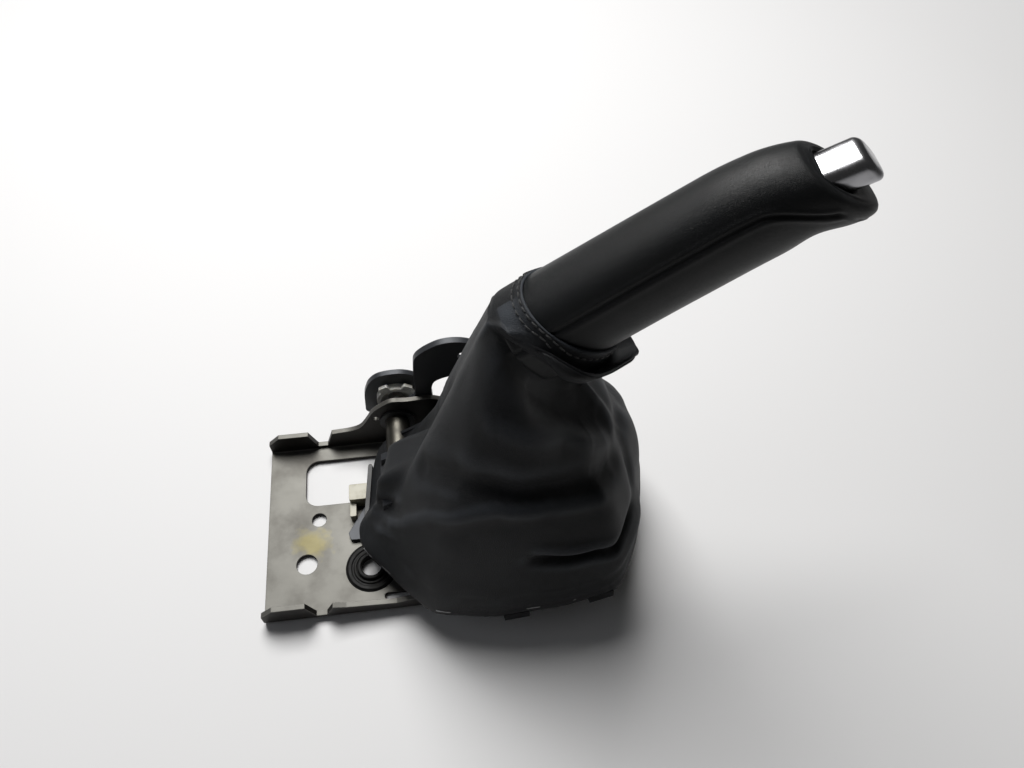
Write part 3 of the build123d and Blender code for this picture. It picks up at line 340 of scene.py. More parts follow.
def sheet_metal(name, base, stain, side, edge, metallic, roughness, brush_mm, axis_faces, smear=None):
    """Plated or coated sheet: faint drawing lines, stains, a painted shade on its sides, and paler edges,
    partly worn and partly a painted highlight.
    """
    material, tree, shader, place_in = material_tree(name)
    here = place_in.outputs["Object"]
    # A rounded normal departs from the flat one where the sheet turns sharply
    rounded = add(tree, "ShaderNodeBevel", {"Radius": 0.5 * MM}, samples=6)
    flat = add(tree, "ShaderNodeNewGeometry")
    match = add(tree, "ShaderNodeVectorMath", {0: rounded, 1: flat.outputs["Normal"]},
                operation="DOT_PRODUCT")
    sharp = add(tree, "ShaderNodeMapRange", {0: match.outputs["Value"], 1: 0.985, 2: 0.9})
    stretch = add(tree, "ShaderNodeMapping", {"Vector": here, "Scale": (0.12, 1.0, 1.0)})
    lines = add(tree, "ShaderNodeTexNoise",
                {"Vector": stretch, "Scale": per_metre(brush_mm), "Detail": 3.0})
    blotches = add(tree, "ShaderNodeTexNoise",
                   {"Vector": here, "Scale": per_metre(26.0), "Detail": 5.0, "Roughness": 0.6})
    grit = add(tree, "ShaderNodeTexNoise", {"Vector": here, "Scale": per_metre(1.1), "Detail": 2.0})
    # Faces turned away from the given axis take the side colour: a painted shade on the sides that get less
    # light
    face = add(tree, "ShaderNodeSeparateXYZ", {0: place_in.outputs["Normal"]})
    turned = add(tree, "ShaderNodeMath", {0: face.outputs[axis_faces]}, operation="ABSOLUTE")
    level = add(tree, "ShaderNodeMapRange", {0: turned, 1: 0.35, 2: 0.75})
    stained = add(tree, "ShaderNodeMapRange", {0: blotches, 1: 0.45, 2: 0.72})
    toned = add(tree, "ShaderNodeMix", {0: stained, 6: base, 7: stain}, data_type="RGBA")
    if smear:
        centre, colour = smear
        away = add(tree, "ShaderNodeVectorMath", {0: here, 1: centre}, operation="DISTANCE")
        ragged = add(tree, "ShaderNodeTexNoise", {"Vector": here, "Scale": per_metre(7.0), "Detail": 4.0})
        reach = add(tree, "ShaderNodeMath", {0: ragged, 1: 18 * MM}, operation="MULTIPLY")
        inside = add(tree, "ShaderNodeMath", {0: reach, 1: away.outputs["Value"]}, operation="SUBTRACT")
        smeared = add(tree, "ShaderNodeMapRange", {0: inside, 1: -3 * MM, 2: 5 * MM, 3: 0.0, 4: 0.5})
        toned = add(tree, "ShaderNodeMix", {0: smeared, 6: toned.outputs[2], 7: colour}, data_type="RGBA")
    # Painted shade: the side colour on faces turned away from the axis
    faced = add(tree, "ShaderNodeMix", {0: level, 6: side, 7: toned.outputs[2]}, data_type="RGBA")
    # Sharp edges turn paler in patches: partly worn steel, partly a painted edge highlight
    patchy = add(tree, "ShaderNodeMapRange", {0: grit, 1: 0.3, 2: 0.6, 3: 0.35, 4: 1.0})
    wear_and_highlight_share = add(tree, "ShaderNodeMath", {0: sharp, 1: patchy}, operation="MULTIPLY", use_clamp=True)
    edged = add(tree, "ShaderNodeMix", {0: wear_and_highlight_share, 6: faced.outputs[2], 7: edge}, data_type="RGBA")
    varied = add(tree, "ShaderNodeMath", {0: blotches, 1: 0.22}, operation="MULTIPLY")
    rough = add(tree, "ShaderNodeMath", {0: varied, 1: roughness - 0.11}, operation="ADD")
    height = add(tree, "ShaderNodeMath", {0: lines, 1: 0.5, 2: grit}, operation="MULTIPLY_ADD")
    bump = add(tree, "ShaderNodeBump",
               {"Height": height, "Normal": rounded, "Distance": 0.02 * MM, "Strength": 0.5})
    connect(tree, shader, {
        "Base Color": edged.outputs[2], "Roughness": rough, "Normal": bump, "Metallic": metallic,
    })
    return material


def turned_metal(name, base, dull, roughness):
    """Plain bright metal of pins, rods and wire, with a slow change of tone and fine scratches."""
    material, tree, shader, place_in = material_tree(name)
    here = place_in.outputs["Object"]
    rounded = add(tree, "ShaderNodeBevel", {"Radius": 0.3 * MM}, samples=6)
    blotches = add(tree, "ShaderNodeTexNoise", {"Vector": here, "Scale": per_metre(9.0), "Detail": 4.0})
    scratches = add(tree, "ShaderNodeTexNoise", {"Vector": here, "Scale": per_metre(0.7), "Detail": 2.0})
    dulled = add(tree, "ShaderNodeMapRange", {0: blotches, 1: 0.4, 2: 0.7})
    colour = add(tree, "ShaderNodeMix", {0: dulled, 6: base, 7: dull}, data_type="RGBA")
    rough = add(tree, "ShaderNodeMapRange",
                {0: blotches, 1: 0.3, 2: 0.75, 3: roughness - 0.06, 4: roughness + 0.1})
    bump = add(tree, "ShaderNodeBump",
               {"Height": scratches, "Normal": rounded, "Distance": 0.012 * MM, "Strength": 0.4})
    connect(tree, shader, {
        "Base Color": colour.outputs[2], "Roughness": rough, "Normal": bump, "Metallic": 1.0,
    })
    return material


def moulded_plastic(name, base, shade, roughness, grain_mm, glow):
    """Moulded plastic: fine spark grain, slight shade change, handling dirt and softened edges."""
    material, tree, shader, place_in = material_tree(name)
    here = place_in.outputs["Object"]
    rounded = add(tree, "ShaderNodeBevel", {"Radius": 0.35 * MM}, samples=6)
    grain = add(tree, "ShaderNodeTexNoise", {"Vector": here, "Scale": per_metre(grain_mm), "Detail": 2.0})
    dirt = add(tree, "ShaderNodeTexNoise",
               {"Vector": here, "Scale": per_metre(7.0), "Detail": 5.0, "Roughness": 0.65})
    shaded = add(tree, "ShaderNodeMapRange", {0: dirt, 1: 0.48, 2: 0.7})
    colour = add(tree, "ShaderNodeMix", {0: shaded, 6: base, 7: shade}, data_type="RGBA")
    rough = add(tree, "ShaderNodeMapRange",
                {0: dirt, 1: 0.3, 2: 0.7, 3: roughness - 0.05, 4: roughness + 0.08})
    bump = add(tree, "ShaderNodeBump",
               {"Height": grain, "Normal": rounded, "Distance": 0.03 * MM, "Strength": 0.5})
    connect(tree, shader, {
        "Base Color": colour.outputs[2], "Roughness": rough, "Normal": bump, "IOR": 1.5,
        "Subsurface Weight": glow, "Subsurface Radius": (0.4, 0.35, 0.25), "Subsurface Scale": 1.5 * MM,
    })
    return material


def sewing_thread(name, base, shade):
    """Twisted polyester thread: slanted plies across each stitch."""
    material, tree, shader, place_in = material_tree(name)
    wave = add(tree, "ShaderNodeTexWave",
               {"Vector": place_in.outputs["Object"], "Scale": per_metre(1.2), "Distortion": 1.0},
               bands_direction="DIAGONAL")
    plies = wave.outputs["Fac"]
    colour = add(tree, "ShaderNodeMix", {0: plies, 6: shade, 7: base}, data_type="RGBA")
    bump = add(tree, "ShaderNodeBump", {"Height": plies, "Distance": 0.1 * MM, "Strength": 0.6})
    connect(tree, shader, {
        "Base Color": colour.outputs[2], "Normal": bump, "Roughness": 0.7, "Sheen Weight": 0.3,
    })
    return material


def moulded_rubber(name, base, dusty):
    """Matt rubber with a little pale dust in its texture."""
    material, tree, shader, place_in = material_tree(name)
    here = place_in.outputs["Object"]
    dust = add(tree, "ShaderNodeTexNoise",
               {"Vector": here, "Scale": per_metre(5.0), "Detail": 6.0, "Roughness": 0.7})
    grain = add(tree, "ShaderNodeTexNoise", {"Vector": here, "Scale": per_metre(0.6), "Detail": 2.0})
    paled = add(tree, "ShaderNodeMapRange", {0: dust, 1: 0.5, 2: 0.75})
    colour = add(tree, "ShaderNodeMix", {0: paled, 6: base, 7: dusty}, data_type="RGBA")
    rough = add(tree, "ShaderNodeMapRange", {0: dust, 1: 0.3, 2: 0.7, 3: 0.5, 4: 0.75})
    bump = add(tree, "ShaderNodeBump", {"Height": grain, "Distance": 0.04 * MM, "Strength": 0.5})
    connect(tree, shader, {
        "Base Color": colour.outputs[2], "Roughness": rough, "Normal": bump, "Specular IOR Level": 0.25,
    })
    return material


# The gaiter's surface

def hem_loop(outwards, count):
    """Evenly spaced points round the hem with rounded corners, and the share of each along it."""
    corners = np.array(FRAME_CORNERS) * MM
    before = np.roll(corners, 1, 0)
    after = np.roll(corners, -1, 0)
    first = (corners - before) / np.linalg.norm(corners - before, axis=1)[:, None]
    second = (after - corners) / np.linalg.norm(after - corners, axis=1)[:, None]
    normal = np.stack([first[:, 1] + second[:, 1], -first[:, 0] - second[:, 0]], 1)
    moved = corners + normal * (outwards * 2 / (normal ** 2).sum(1))[:, None]
    line = []
    for index in range(len(moved)):
        start, corner, end = moved[index - 1], moved[index], moved[(index + 1) % len(moved)]
        cut_in = corner + (start - corner) * min(0.4, HEM_CORNER / np.linalg.norm(start - corner))
        cut_out = corner + (end - corner) * min(0.4, HEM_CORNER / np.linalg.norm(end - corner))
        for t in np.linspace(0, 1, 9):
            line.append(cut_in * (1 - t) ** 2 + corner * 2 * t * (1 - t) + cut_out * t * t)
    line = np.array(line + [line[0]])
    run = np.concatenate([[0], np.cumsum(np.linalg.norm(np.diff(line, axis=0), axis=1))])
    share = np.arange(count) / count
    x = np.interp(share * run[-1], run, line[:, 0])
    y = np.interp(share * run[-1], run, line[:, 1])
    return x, y, share


def tilt(x, y, z):
    """Leans the flat hem so that it climbs towards the grip."""
    x0 = FRAME_CORNERS[0][0] * MM
    lean_x = x0 + (x - x0) * math.cos(FRAME_TILT) - (z - FRAME_LOW) * math.sin(FRAME_TILT)
    lean_z = FRAME_LOW + (x - x0) * math.sin(FRAME_TILT) + (z - FRAME_LOW) * math.cos(FRAME_TILT)
    return lean_x, y, lean_z


def section_at(along):
    """Rise, half width and half height of the grip at distances along its axis."""
    stations = GRIP_STATIONS
    rise, width, height = (np.interp(along, stations[:, 0], stations[:, k]) for k in (1, 2, 3))
    return rise, width / 2, height / 2


def seam_ring(bend):
    """Across and rise of the seam that holds the cuff on the grip."""
    half_width, half_height = SEAM_HALF
    return half_width * np.sin(bend), -half_height * np.cos(bend)


def lip_ring(bend, flare):
    """Across and rise of the cuff's lip: flat on the grip in front, standing out and pointed behind."""
    toward_rear = np.cos(bend)
    turned = np.abs(np.degrees(bend))
    pointed = 0.62 + 0.38 * smooth_step(35, 100, turned)
    wide = (25 * MM + flare * np.abs(np.sin(bend)) ** 1.5) * pointed
    flat = smooth_step(95, 140, turned)
    on_grip_y, on_grip_n = seam_ring(bend)
    across = wide * np.sin(bend) * (1 - flat) + on_grip_y * flat
    rise = (-9.5 * MM - 36.5 * MM * toward_rear) * (1 - flat) + on_grip_n * flat
    return across, rise


def gaiter_rows(settings, columns):
    """The gaiter's outer surface as rows of points, from the hem up, over the lip and in to the grip."""
    gap = FRAME_WALL / 2 + HEM_GAP + settings.thickness
    x, y, share = hem_loop(gap, columns)
    # Each column's direction round the bag's middle
    bend = np.arctan2(y + 12 * MM, x - 60 * MM)
    toward_rear = np.cos(bend)
    turned = np.abs(np.degrees(bend))
    # Stretches of the hem: open above the cross tube, and tucked inside the frame's free ends
    open_side = smooth_step(0.885, 0.94, share) * (1 - smooth_step(0.955, 0.985, share))
    tucked = np.maximum(smooth_step(0.965, 0.985, share), 1 - smooth_step(0.075, 0.1, share))
    x_in, y_in, _ = hem_loop(-gap + settings.thickness, columns)
    rows = []
    for height in np.linspace(HEM_LIFT, 11 * MM, HEM_ROWS):
        puff = settings.thickness * 0.5 * hump(height, 8 * MM, 3 * MM)
        hem_x, hem_y, _ = hem_loop(gap + puff, columns)
        hem_x = hem_x + (x_in - hem_x) * tucked
        hem_y = hem_y + (y_in - hem_y) * tucked
        flat = tilt(hem_x, hem_y, np.full_like(hem_x, FRAME_LOW + height))
        rows.append(np.stack(flat, 1))
    x = x + (x_in - x) * tucked
    y = y + (y_in - y) * tucked
    low = np.stack(tilt(x, y, np.full_like(x, FRAME_LOW + FRAME_HEIGHT)), 1)
    waist_y, waist_n = lip_ring(bend, 0.0)
    high = place(np.full_like(bend, CUFF_WAIST), waist_y, waist_n)
    slack = 1.5 + 0.4 * toward_rear - 0.7 * np.clip(np.cos(bend - math.radians(150)), 0, 1) ** 4
    # Fuller low down by the pivot, where the lever's broad plate comes close behind the leather
    near_front = (share + 0.5) % 1.0
    over_plate = smooth_step(0.5, 0.54, near_front) * (1 - smooth_step(0.585, 0.62, near_front))
    rise_from = 0.15 * open_side
    for step in range(BAG_STEPS + 1):
        part = rise_from + (1 - rise_from) * step / BAG_STEPS
        pull = np.maximum(part, 1e-9) ** slack
        pull = pull * (1 - 0.62 * over_plate * (1 - smooth_step(0.24, 0.36, part)))
        point = low + (high - low) * pull[:, None]
        point[:, 2] = low[:, 2] + (high[:, 2] - low[:, 2]) * part
        rows.append(point)
    # Above the cross tube the hem hangs close to the bag's first row
    top_of_hem = rows[HEM_ROWS - 1].copy()
    for row in rows[:HEM_ROWS]:
        beside = rows[HEM_ROWS] + (row - top_of_hem) * 0.15
        row[:] = beside * open_side[:, None] + row * (1 - open_side[:, None])
    # Out to the lip, over its roll and down the valley to the seam
    lip_y, lip_n = lip_ring(bend, settings.lip_flare)
    lip_along = (19.5 + 8.5 * toward_rear - 12 * smooth_step(90, 150, turned)) * MM
    for step in range(1, LIP_ROWS + 1):
        part = step / LIP_ROWS
        flare = part * part
        rows.append(place(CUFF_WAIST + (lip_along - 2.2 * MM - CUFF_WAIST) * part,
                          waist_y + (lip_y - waist_y) * flare, waist_n + (lip_n - waist_n) * flare))
    inner_y, inner_n = seam_ring(bend)
    seam_along = 20.6 * MM + 10.2 * MM * toward_rear
    gap_out = np.hypot(lip_y - inner_y, lip_n - inner_n)
    roll = np.clip(gap_out * 0.2, 0.02 * MM, 0.95 * MM)
    length = np.maximum(gap_out, 0.01 * MM)
    in_y, in_n = (inner_y - lip_y) / length, (inner_n - lip_n) / length
    for step in range(1, ROLL_ROWS + 1):
        angle = math.pi * step / ROLL_ROWS
        inward = roll * (1 - math.cos(angle))
        rows.append(place(lip_along - 2.2 * MM + roll * math.sin(angle) + 0.12 * MM * step,
                          lip_y + in_y * inward, lip_n + in_n * inward))
    depth = np.clip(gap_out * 0.9 - 1.0 * MM, 0.0, 11.0 * MM)
    start_y, start_n = lip_y + in_y * roll * 2, lip_n + in_n * roll * 2
    start_along = lip_along - 1.36 * MM
    for step in range(1, VALLEY_ROWS + 1):
        part = step / VALLEY_ROWS
        sag = depth * np.sin(math.pi * part ** 0.6) ** 0.8
        rows.append(place(start_along + (seam_along - start_along) * part - sag,
                          start_y + (inner_y - start_y) * part, start_n + (inner_n - start_n) * part))
    return np.array(rows), bend, share


def outward_normals(rows):
    """Normals of a closed grid of rows, pointing out of the bag."""
    around = np.roll(rows, -1, 1) - np.roll(rows, 1, 1)
    up = np.gradient(rows, axis=0)
    normal = np.cross(around, up)
    return normal / np.maximum(np.linalg.norm(normal, axis=2), 1e-12)[..., None]


def soft_noise(seed, rows, columns, row_waves, column_waves):
    """Smooth seamless waves over a closed grid, about one unit high."""
    rng = np.random.default_rng(seed)
    v, u = np.meshgrid(np.linspace(0, 1, rows), np.linspace(0, 1, columns, endpoint=False), indexing="ij")
    total = np.zeros((rows, columns))
    for _ in range(14):
        across = rng.integers(-column_waves, column_waves + 1)
        upward = rng.uniform(-row_waves, row_waves)
        total += np.cos(2 * math.pi * (across * u + upward * v) + rng.uniform(0, 2 * math.pi))
    return total / 3.7


# Folds of the bag: the share round the hem and the share of the height that each one passes,
# with its half width and depth in millimetres. A ridge has a negative depth.
FOLDS = [
    ("hollow under the cuff",
     [(0.24, 1.04), (0.30, 1.02), (0.37, 1.0), (0.44, 0.97), (0.50, 0.91), (0.54, 0.82)], 12, 7.5),
    ("ridge under that hollow",
     [(0.26, 0.81), (0.30, 0.83), (0.39, 0.86), (0.47, 0.80), (0.53, 0.70)], 7, -3),
    ("ridge down from the lip's tip", [(0.555, 1.14), (0.565, 0.95), (0.565, 0.82), (0.555, 0.72)], 4.5, -4),
    ("hollow across the near side",
     [(0.15, 0.47), (0.22, 0.57), (0.29, 0.62), (0.36, 0.65), (0.45, 0.66), (0.50, 0.63)], 8, 5.5),
    ("ridge across the near side",
     [(0.14, 0.17), (0.20, 0.38), (0.29, 0.55), (0.36, 0.59), (0.44, 0.58)], 5, -2.6),
    ("narrow fold above the hem", [(0.35, 0.32), (0.39, 0.30), (0.42, 0.30), (0.45, 0.27)], 3.6, 6),
    ("lap over the narrow fold", [(0.35, 0.38), (0.39, 0.36), (0.44, 0.34)], 4.5, -2.4),
    ("notch at the fold's end", [(0.45, 0.28), (0.47, 0.29), (0.50, 0.31)], 4, 5),
    ("lobe below the notch", [(0.46, 0.15), (0.49, 0.17), (0.53, 0.19)], 7, -3),
    ("dent towards the grip", [(0.57, 0.62), (0.61, 0.62), (0.65, 0.58)], 8, 4),
    ("crumple over the front corner", [(0.085, 0.10), (0.115, 0.18), (0.15, 0.24)], 4.5, 2.4),
    ("ridge below the crumple", [(0.11, 0.06), (0.13, 0.10), (0.16, 0.15)], 3.5, -1.2),
    ("leather over the lever's cheeks", [(0.97, 0.35), (1.0, 0.60), (1.02, 0.86)], 14, -4.5),
    ("crease beside the flat front", [(0.205, 1.28), (0.18, 1.18), (0.15, 1.05), (0.11, 0.92)], 3.5, -1.6),
    ("far hollow under the cuff", [(0.62, 0.86), (0.70, 0.92), (0.80, 0.93), (0.88, 0.90)], 9, 5),
    ("far hollow", [(0.64, 0.50), (0.72, 0.57), (0.80, 0.56), (0.88, 0.48)], 8, 4.5),
    ("far ridge", [(0.66, 0.36), (0.74, 0.42), (0.83, 0.42)], 7, -2.6),
    ("rear crease", [(0.52, 0.34), (0.54, 0.45), (0.55, 0.55)], 5, 2.5),
]


def fold_field(rows, share, heights, folds):
    """How far each point of the bag is pushed in by the folds."""
    around = np.linalg.norm(rows - np.roll(rows, 1, 1), axis=2).sum(1)
    upward = np.linalg.norm(np.diff(rows[HEM_ROWS:HEM_ROWS + BAG_STEPS + 1], axis=0), axis=2).sum(0)
    total = np.zeros(rows.shape[:2])
    hollows = (1 - smooth_step(1.07, 1.14, heights))[:, None]
    ridges = (1 - smooth_step(1.3, 1.36, heights))[:, None]
    for _, points, width, depth in folds:
        knots = np.array(points)
        steps = np.linspace(0, len(knots) - 1, 12 * len(knots))
        line_u = np.interp(steps, np.arange(len(knots)), knots[:, 0])
        line_v = np.interp(steps, np.arange(len(knots)), knots[:, 1])
        nearest = np.full(rows.shape[:2], 1e9)
        taper = np.zeros(rows.shape[:2])
        for at_u, at_v, step in zip(line_u, line_v, steps / steps[-1]):
            off_u = ((share - at_u + 0.5) % 1.0 - 0.5)[None, :] * around[:, None]
            off_v = (heights - at_v)[:, None] * upward[None, :]
            distance = np.hypot(off_u, off_v)
            closer = distance < nearest
            nearest = np.where(closer, distance, nearest)
            fullness = math.sin(math.pi * min(max(step, 0.02), 0.98)) ** 0.6
            taper = np.where(closer, 0.35 + 0.65 * fullness, taper)
        allowed = hollows if depth > 0 else ridges
        total += depth * MM * taper * np.exp(-(nearest / (width * MM)) ** 2) * allowed
    return total


def gaiter_surface(settings):
    """Outer points of the gaiter with its folds, and how pale each place is: rubbed where folds stand out,
    with painted highlights on the lip and on the cuff's front.
    """
    columns = GAITER_COLUMNS
    rows, bend, share = gaiter_rows(settings, columns)
    count = len(rows)
    heights = (np.arange(count) - HEM_ROWS) / BAG_STEPS
    normal = outward_normals(rows)
    free = smooth_step(0.0, 0.07, heights) * (1 - smooth_step(1.0, 1.1, heights))
    folds = fold_field(rows, share, heights, FOLDS) * settings.fold_depth
    broad = soft_noise(settings.seed, count, columns, 2.2, 4) * 1.1 * MM
    fine = soft_noise(settings.seed + 1, count, columns, 9, 14) * 0.12 * MM
    hem_waves = soft_noise(settings.seed + 2, count, columns, 1, 22) * 0.25 * MM
    shift = (broad + fine) * free[:, None] - folds * smooth_step(0.0, 0.07, heights)[:, None]
    shift += hem_waves * ((heights < 0.1) & (heights > -0.05))[:, None]
    rows = rows + normal * shift[..., None]
    local = (np.roll(shift, 4, 0) + np.roll(shift, -4, 0) + np.roll(shift, 4, 1) + np.roll(shift, -4, 1)) / 4
    # Paler where folds stand out, as the leather is rubbed there
    raised = np.clip((shift - local) / (0.9 * MM), 0, 1) * free[:, None]
    # A painted highlight along the lip's roll behind the grip
    behind = smooth_step(60, 120, 180 - np.abs(np.degrees(bend)))
    lip = hump(heights, 1.17, 0.035)[:, None] * behind[None, :]
    # A painted highlight on the cuff's flat front, where the overhead light catches it
    patch = np.exp(-((np.degrees(bend) + 165) / 24) ** 2)[None, :] * hump(heights, 1.27, 0.1)[:, None]
    edge = (np.arange(count) >= count - 1)[:, None] * np.ones(columns)[None, :]
    wear_and_highlight = np.clip(raised * 0.5 + lip * 0.25 + patch + edge * 0.9, 0, 1)
    return rows, wear_and_highlight, bend


def resample_closed(points, spacing):
    """Evenly spaced points round a closed line, and the direction there."""
    line = np.vstack([points, points[:1]])
    run = np.concatenate([[0], np.cumsum(np.linalg.norm(np.diff(line, axis=0), axis=1))])
    count = max(3, int(round(run[-1] / spacing)))
    at = np.arange(count) / count * run[-1]
    found = np.stack([np.interp(at, run, line[:, k]) for k in range(3)], 1)
    ahead = np.roll(found, -1, 0) - np.roll(found, 1, 0)
    return found, ahead / np.linalg.norm(ahead, axis=1)[:, None]


# Repeated small pieces with Geometry Nodes

def scatter_tree(name, build_shape):
    """A node tree that puts one shape on every point, turned by the point's two directions."""
    tree = bpy.data.node_groups.new(name, "GeometryNodeTree")
    sockets = {}
    for label, kind, default in (
        ("Geometry", "NodeSocketGeometry", None), ("Length", "NodeSocketFloat", 3 * MM),
        ("Thickness", "NodeSocketFloat", 0.6 * MM), ("Finish", "NodeSocketMaterial", None),
    ):
        made = tree.interface.new_socket(name=label, in_out="INPUT", socket_type=kind)
        sockets[label] = made.identifier
        if default is not None:
            made.default_value = default
    tree.interface.new_socket(name="Geometry", in_out="OUTPUT", socket_type="NodeSocketGeometry")
    into = add(tree, "NodeGroupInput")
    shape = build_shape(tree, into.outputs["Length"], into.outputs["Thickness"])
    run = add(tree, "GeometryNodeInputNamedAttribute", {"Name": "run"}, data_type="FLOAT_VECTOR")
    outward = add(tree, "GeometryNodeInputNamedAttribute", {"Name": "outward"}, data_type="FLOAT_VECTOR")
    first = add(tree, "FunctionNodeAlignRotationToVector", {"Vector": outward.outputs["Attribute"]},
                axis="Z")
    second = add(tree, "FunctionNodeAlignRotationToVector",
                 {"Rotation": first, "Vector": run.outputs["Attribute"]}, axis="X", pivot_axis="Z")
    laid = add(tree, "GeometryNodeInstanceOnPoints",
               {"Points": into.outputs["Geometry"], "Instance": shape, "Rotation": second})
    real = add(tree, "GeometryNodeRealizeInstances", {"Geometry": laid})
    finish = add(tree, "GeometryNodeSetMaterial", {"Geometry": real, "Material": into.outputs["Finish"]})
    add(tree, "NodeGroupOutput", {"Geometry": finish})
    return tree, sockets


def stitch_shape(tree, length, thickness):
    """One stitch: thread that rises out of the leather, runs over it and dips in again."""
    shares = ((length, -0.5), (length, 0.5), (thickness, -0.7), (thickness, 0.75), (thickness, 0.5))
    back, front, sink, lift, radius = (
        add(tree, "ShaderNodeMath", {0: size, 1: share}, operation="MULTIPLY") for size, share in shares)
    arc = add(tree, "GeometryNodeCurvePrimitiveBezierSegment", {"Resolution": 7})
    for socket, across, up in (
        ("Start", back, sink), ("Start Handle", back, lift), ("End Handle", front, lift),
        ("End", front, sink),
    ):
        connect(tree, arc, {socket: add(tree, "ShaderNodeCombineXYZ", {"X": across, "Z": up})})
    ring = add(tree, "GeometryNodeCurvePrimitiveCircle", {"Resolution": 7, "Radius": radius})
    return add(tree, "GeometryNodeCurveToMesh",
               {"Curve": arc, "Profile Curve": ring, "Fill Caps": True})


def staple_shape(tree, length, thickness):
    """One wire staple: a crown with rounded shoulders and two legs going into the hem."""
    back, front, radius = (
        add(tree, "ShaderNodeMath", {0: size, 1: share}, operation="MULTIPLY")
        for size, share in ((length, -0.5), (length, 0.5), (thickness, 0.5)))
    corners = [
        add(tree, "ShaderNodeCombineXYZ", {"X": across, "Z": depth})
        for across, depth in ((back, -STAPLE_LEG), (back, 0.0), (front, 0.0), (front, -STAPLE_LEG))]
    index = add(tree, "GeometryNodeInputIndex")
    chosen = corners[0]
    for number, corner in enumerate(corners[1:], 1):
        beyond = add(tree, "FunctionNodeCompare", {2: index, 3: number}, data_type="INT",
                     operation="GREATER_EQUAL")
        chosen = add(tree, "GeometryNodeSwitch", {0: beyond, "False": chosen, "True": corner},
                     input_type="VECTOR")
    points = add(tree, "GeometryNodeMeshLine", {"Count": len(corners)})
    outline = add(tree, "GeometryNodeSetPosition", {"Geometry": points, "Position": chosen})
    straight = add(tree, "GeometryNodeMeshToCurve", {"Mesh": outline})
    bent = add(tree, "GeometryNodeFilletCurve",
               {"Curve": straight, "Radius": STAPLE_SHOULDER, "Count": 4}, mode="POLY")
    ring = add(tree, "GeometryNodeCurvePrimitiveCircle", {"Resolution": 10, "Radius": radius})
    return add(tree, "GeometryNodeCurveToMesh",
               {"Curve": bent, "Profile Curve": ring, "Fill Caps": True})


def scatter(name, points, runs, outwards, shape, length, thickness, finish):
    """One mesh of equal small pieces, one on each point."""
    piece = mesh_piece(name, points, [], smooth=False)
    for label, values in (("run", runs), ("outward", outwards)):
        attribute = piece.data.attributes.new(label, "FLOAT_VECTOR", "POINT")
        attribute.data.foreach_set("vector", np.asarray(values, np.float32).ravel())
    tree, sockets = scatter_tree(name + " layout", shape)
    modifier = piece.modifiers.new("Layout", "NODES")
    modifier.node_group = tree
    modifier[sockets["Length"]] = length
    modifier[sockets["Thickness"]] = thickness
    modifier[sockets["Finish"]] = finish
    keep_modified(piece)
    for label in ("run", "outward"):
        if label in piece.data.attributes:
            piece.data.attributes.remove(piece.data.attributes[label])
    piece.data.shade_smooth()
    return piece


# The grip's surface

def grip_outline(along, turn):
    """A point of the grip's section at a distance along it and at an angle round it."""
    rise, half_width, half_height = section_at(along)
    out, up = squared(turn, GRIP_CORNER)
    return half_width * out, rise + half_height * up


def button_ring(depth, turn, half_width, half_height):
    """Points of a rounded rectangle round the button's axis."""
    out, up = squared(turn, BUTTON_CORNER)
    depth = np.broadcast_to(depth, turn.shape)
    return (BUTTON_BASE + depth[:, None] * BUTTON_ALONG + (half_width * out)[:, None] * ACROSS
            + (half_height * up)[:, None] * BUTTON_RISE)


def curve_between(first, control, last, count):
    """Rows of a soft bend from one ring to another, without the first."""
    steps = np.linspace(0, 1, count + 1)[1:]
    return [first * (1 - t) ** 2 + control * 2 * t * (1 - t) + last * t * t for t in steps]


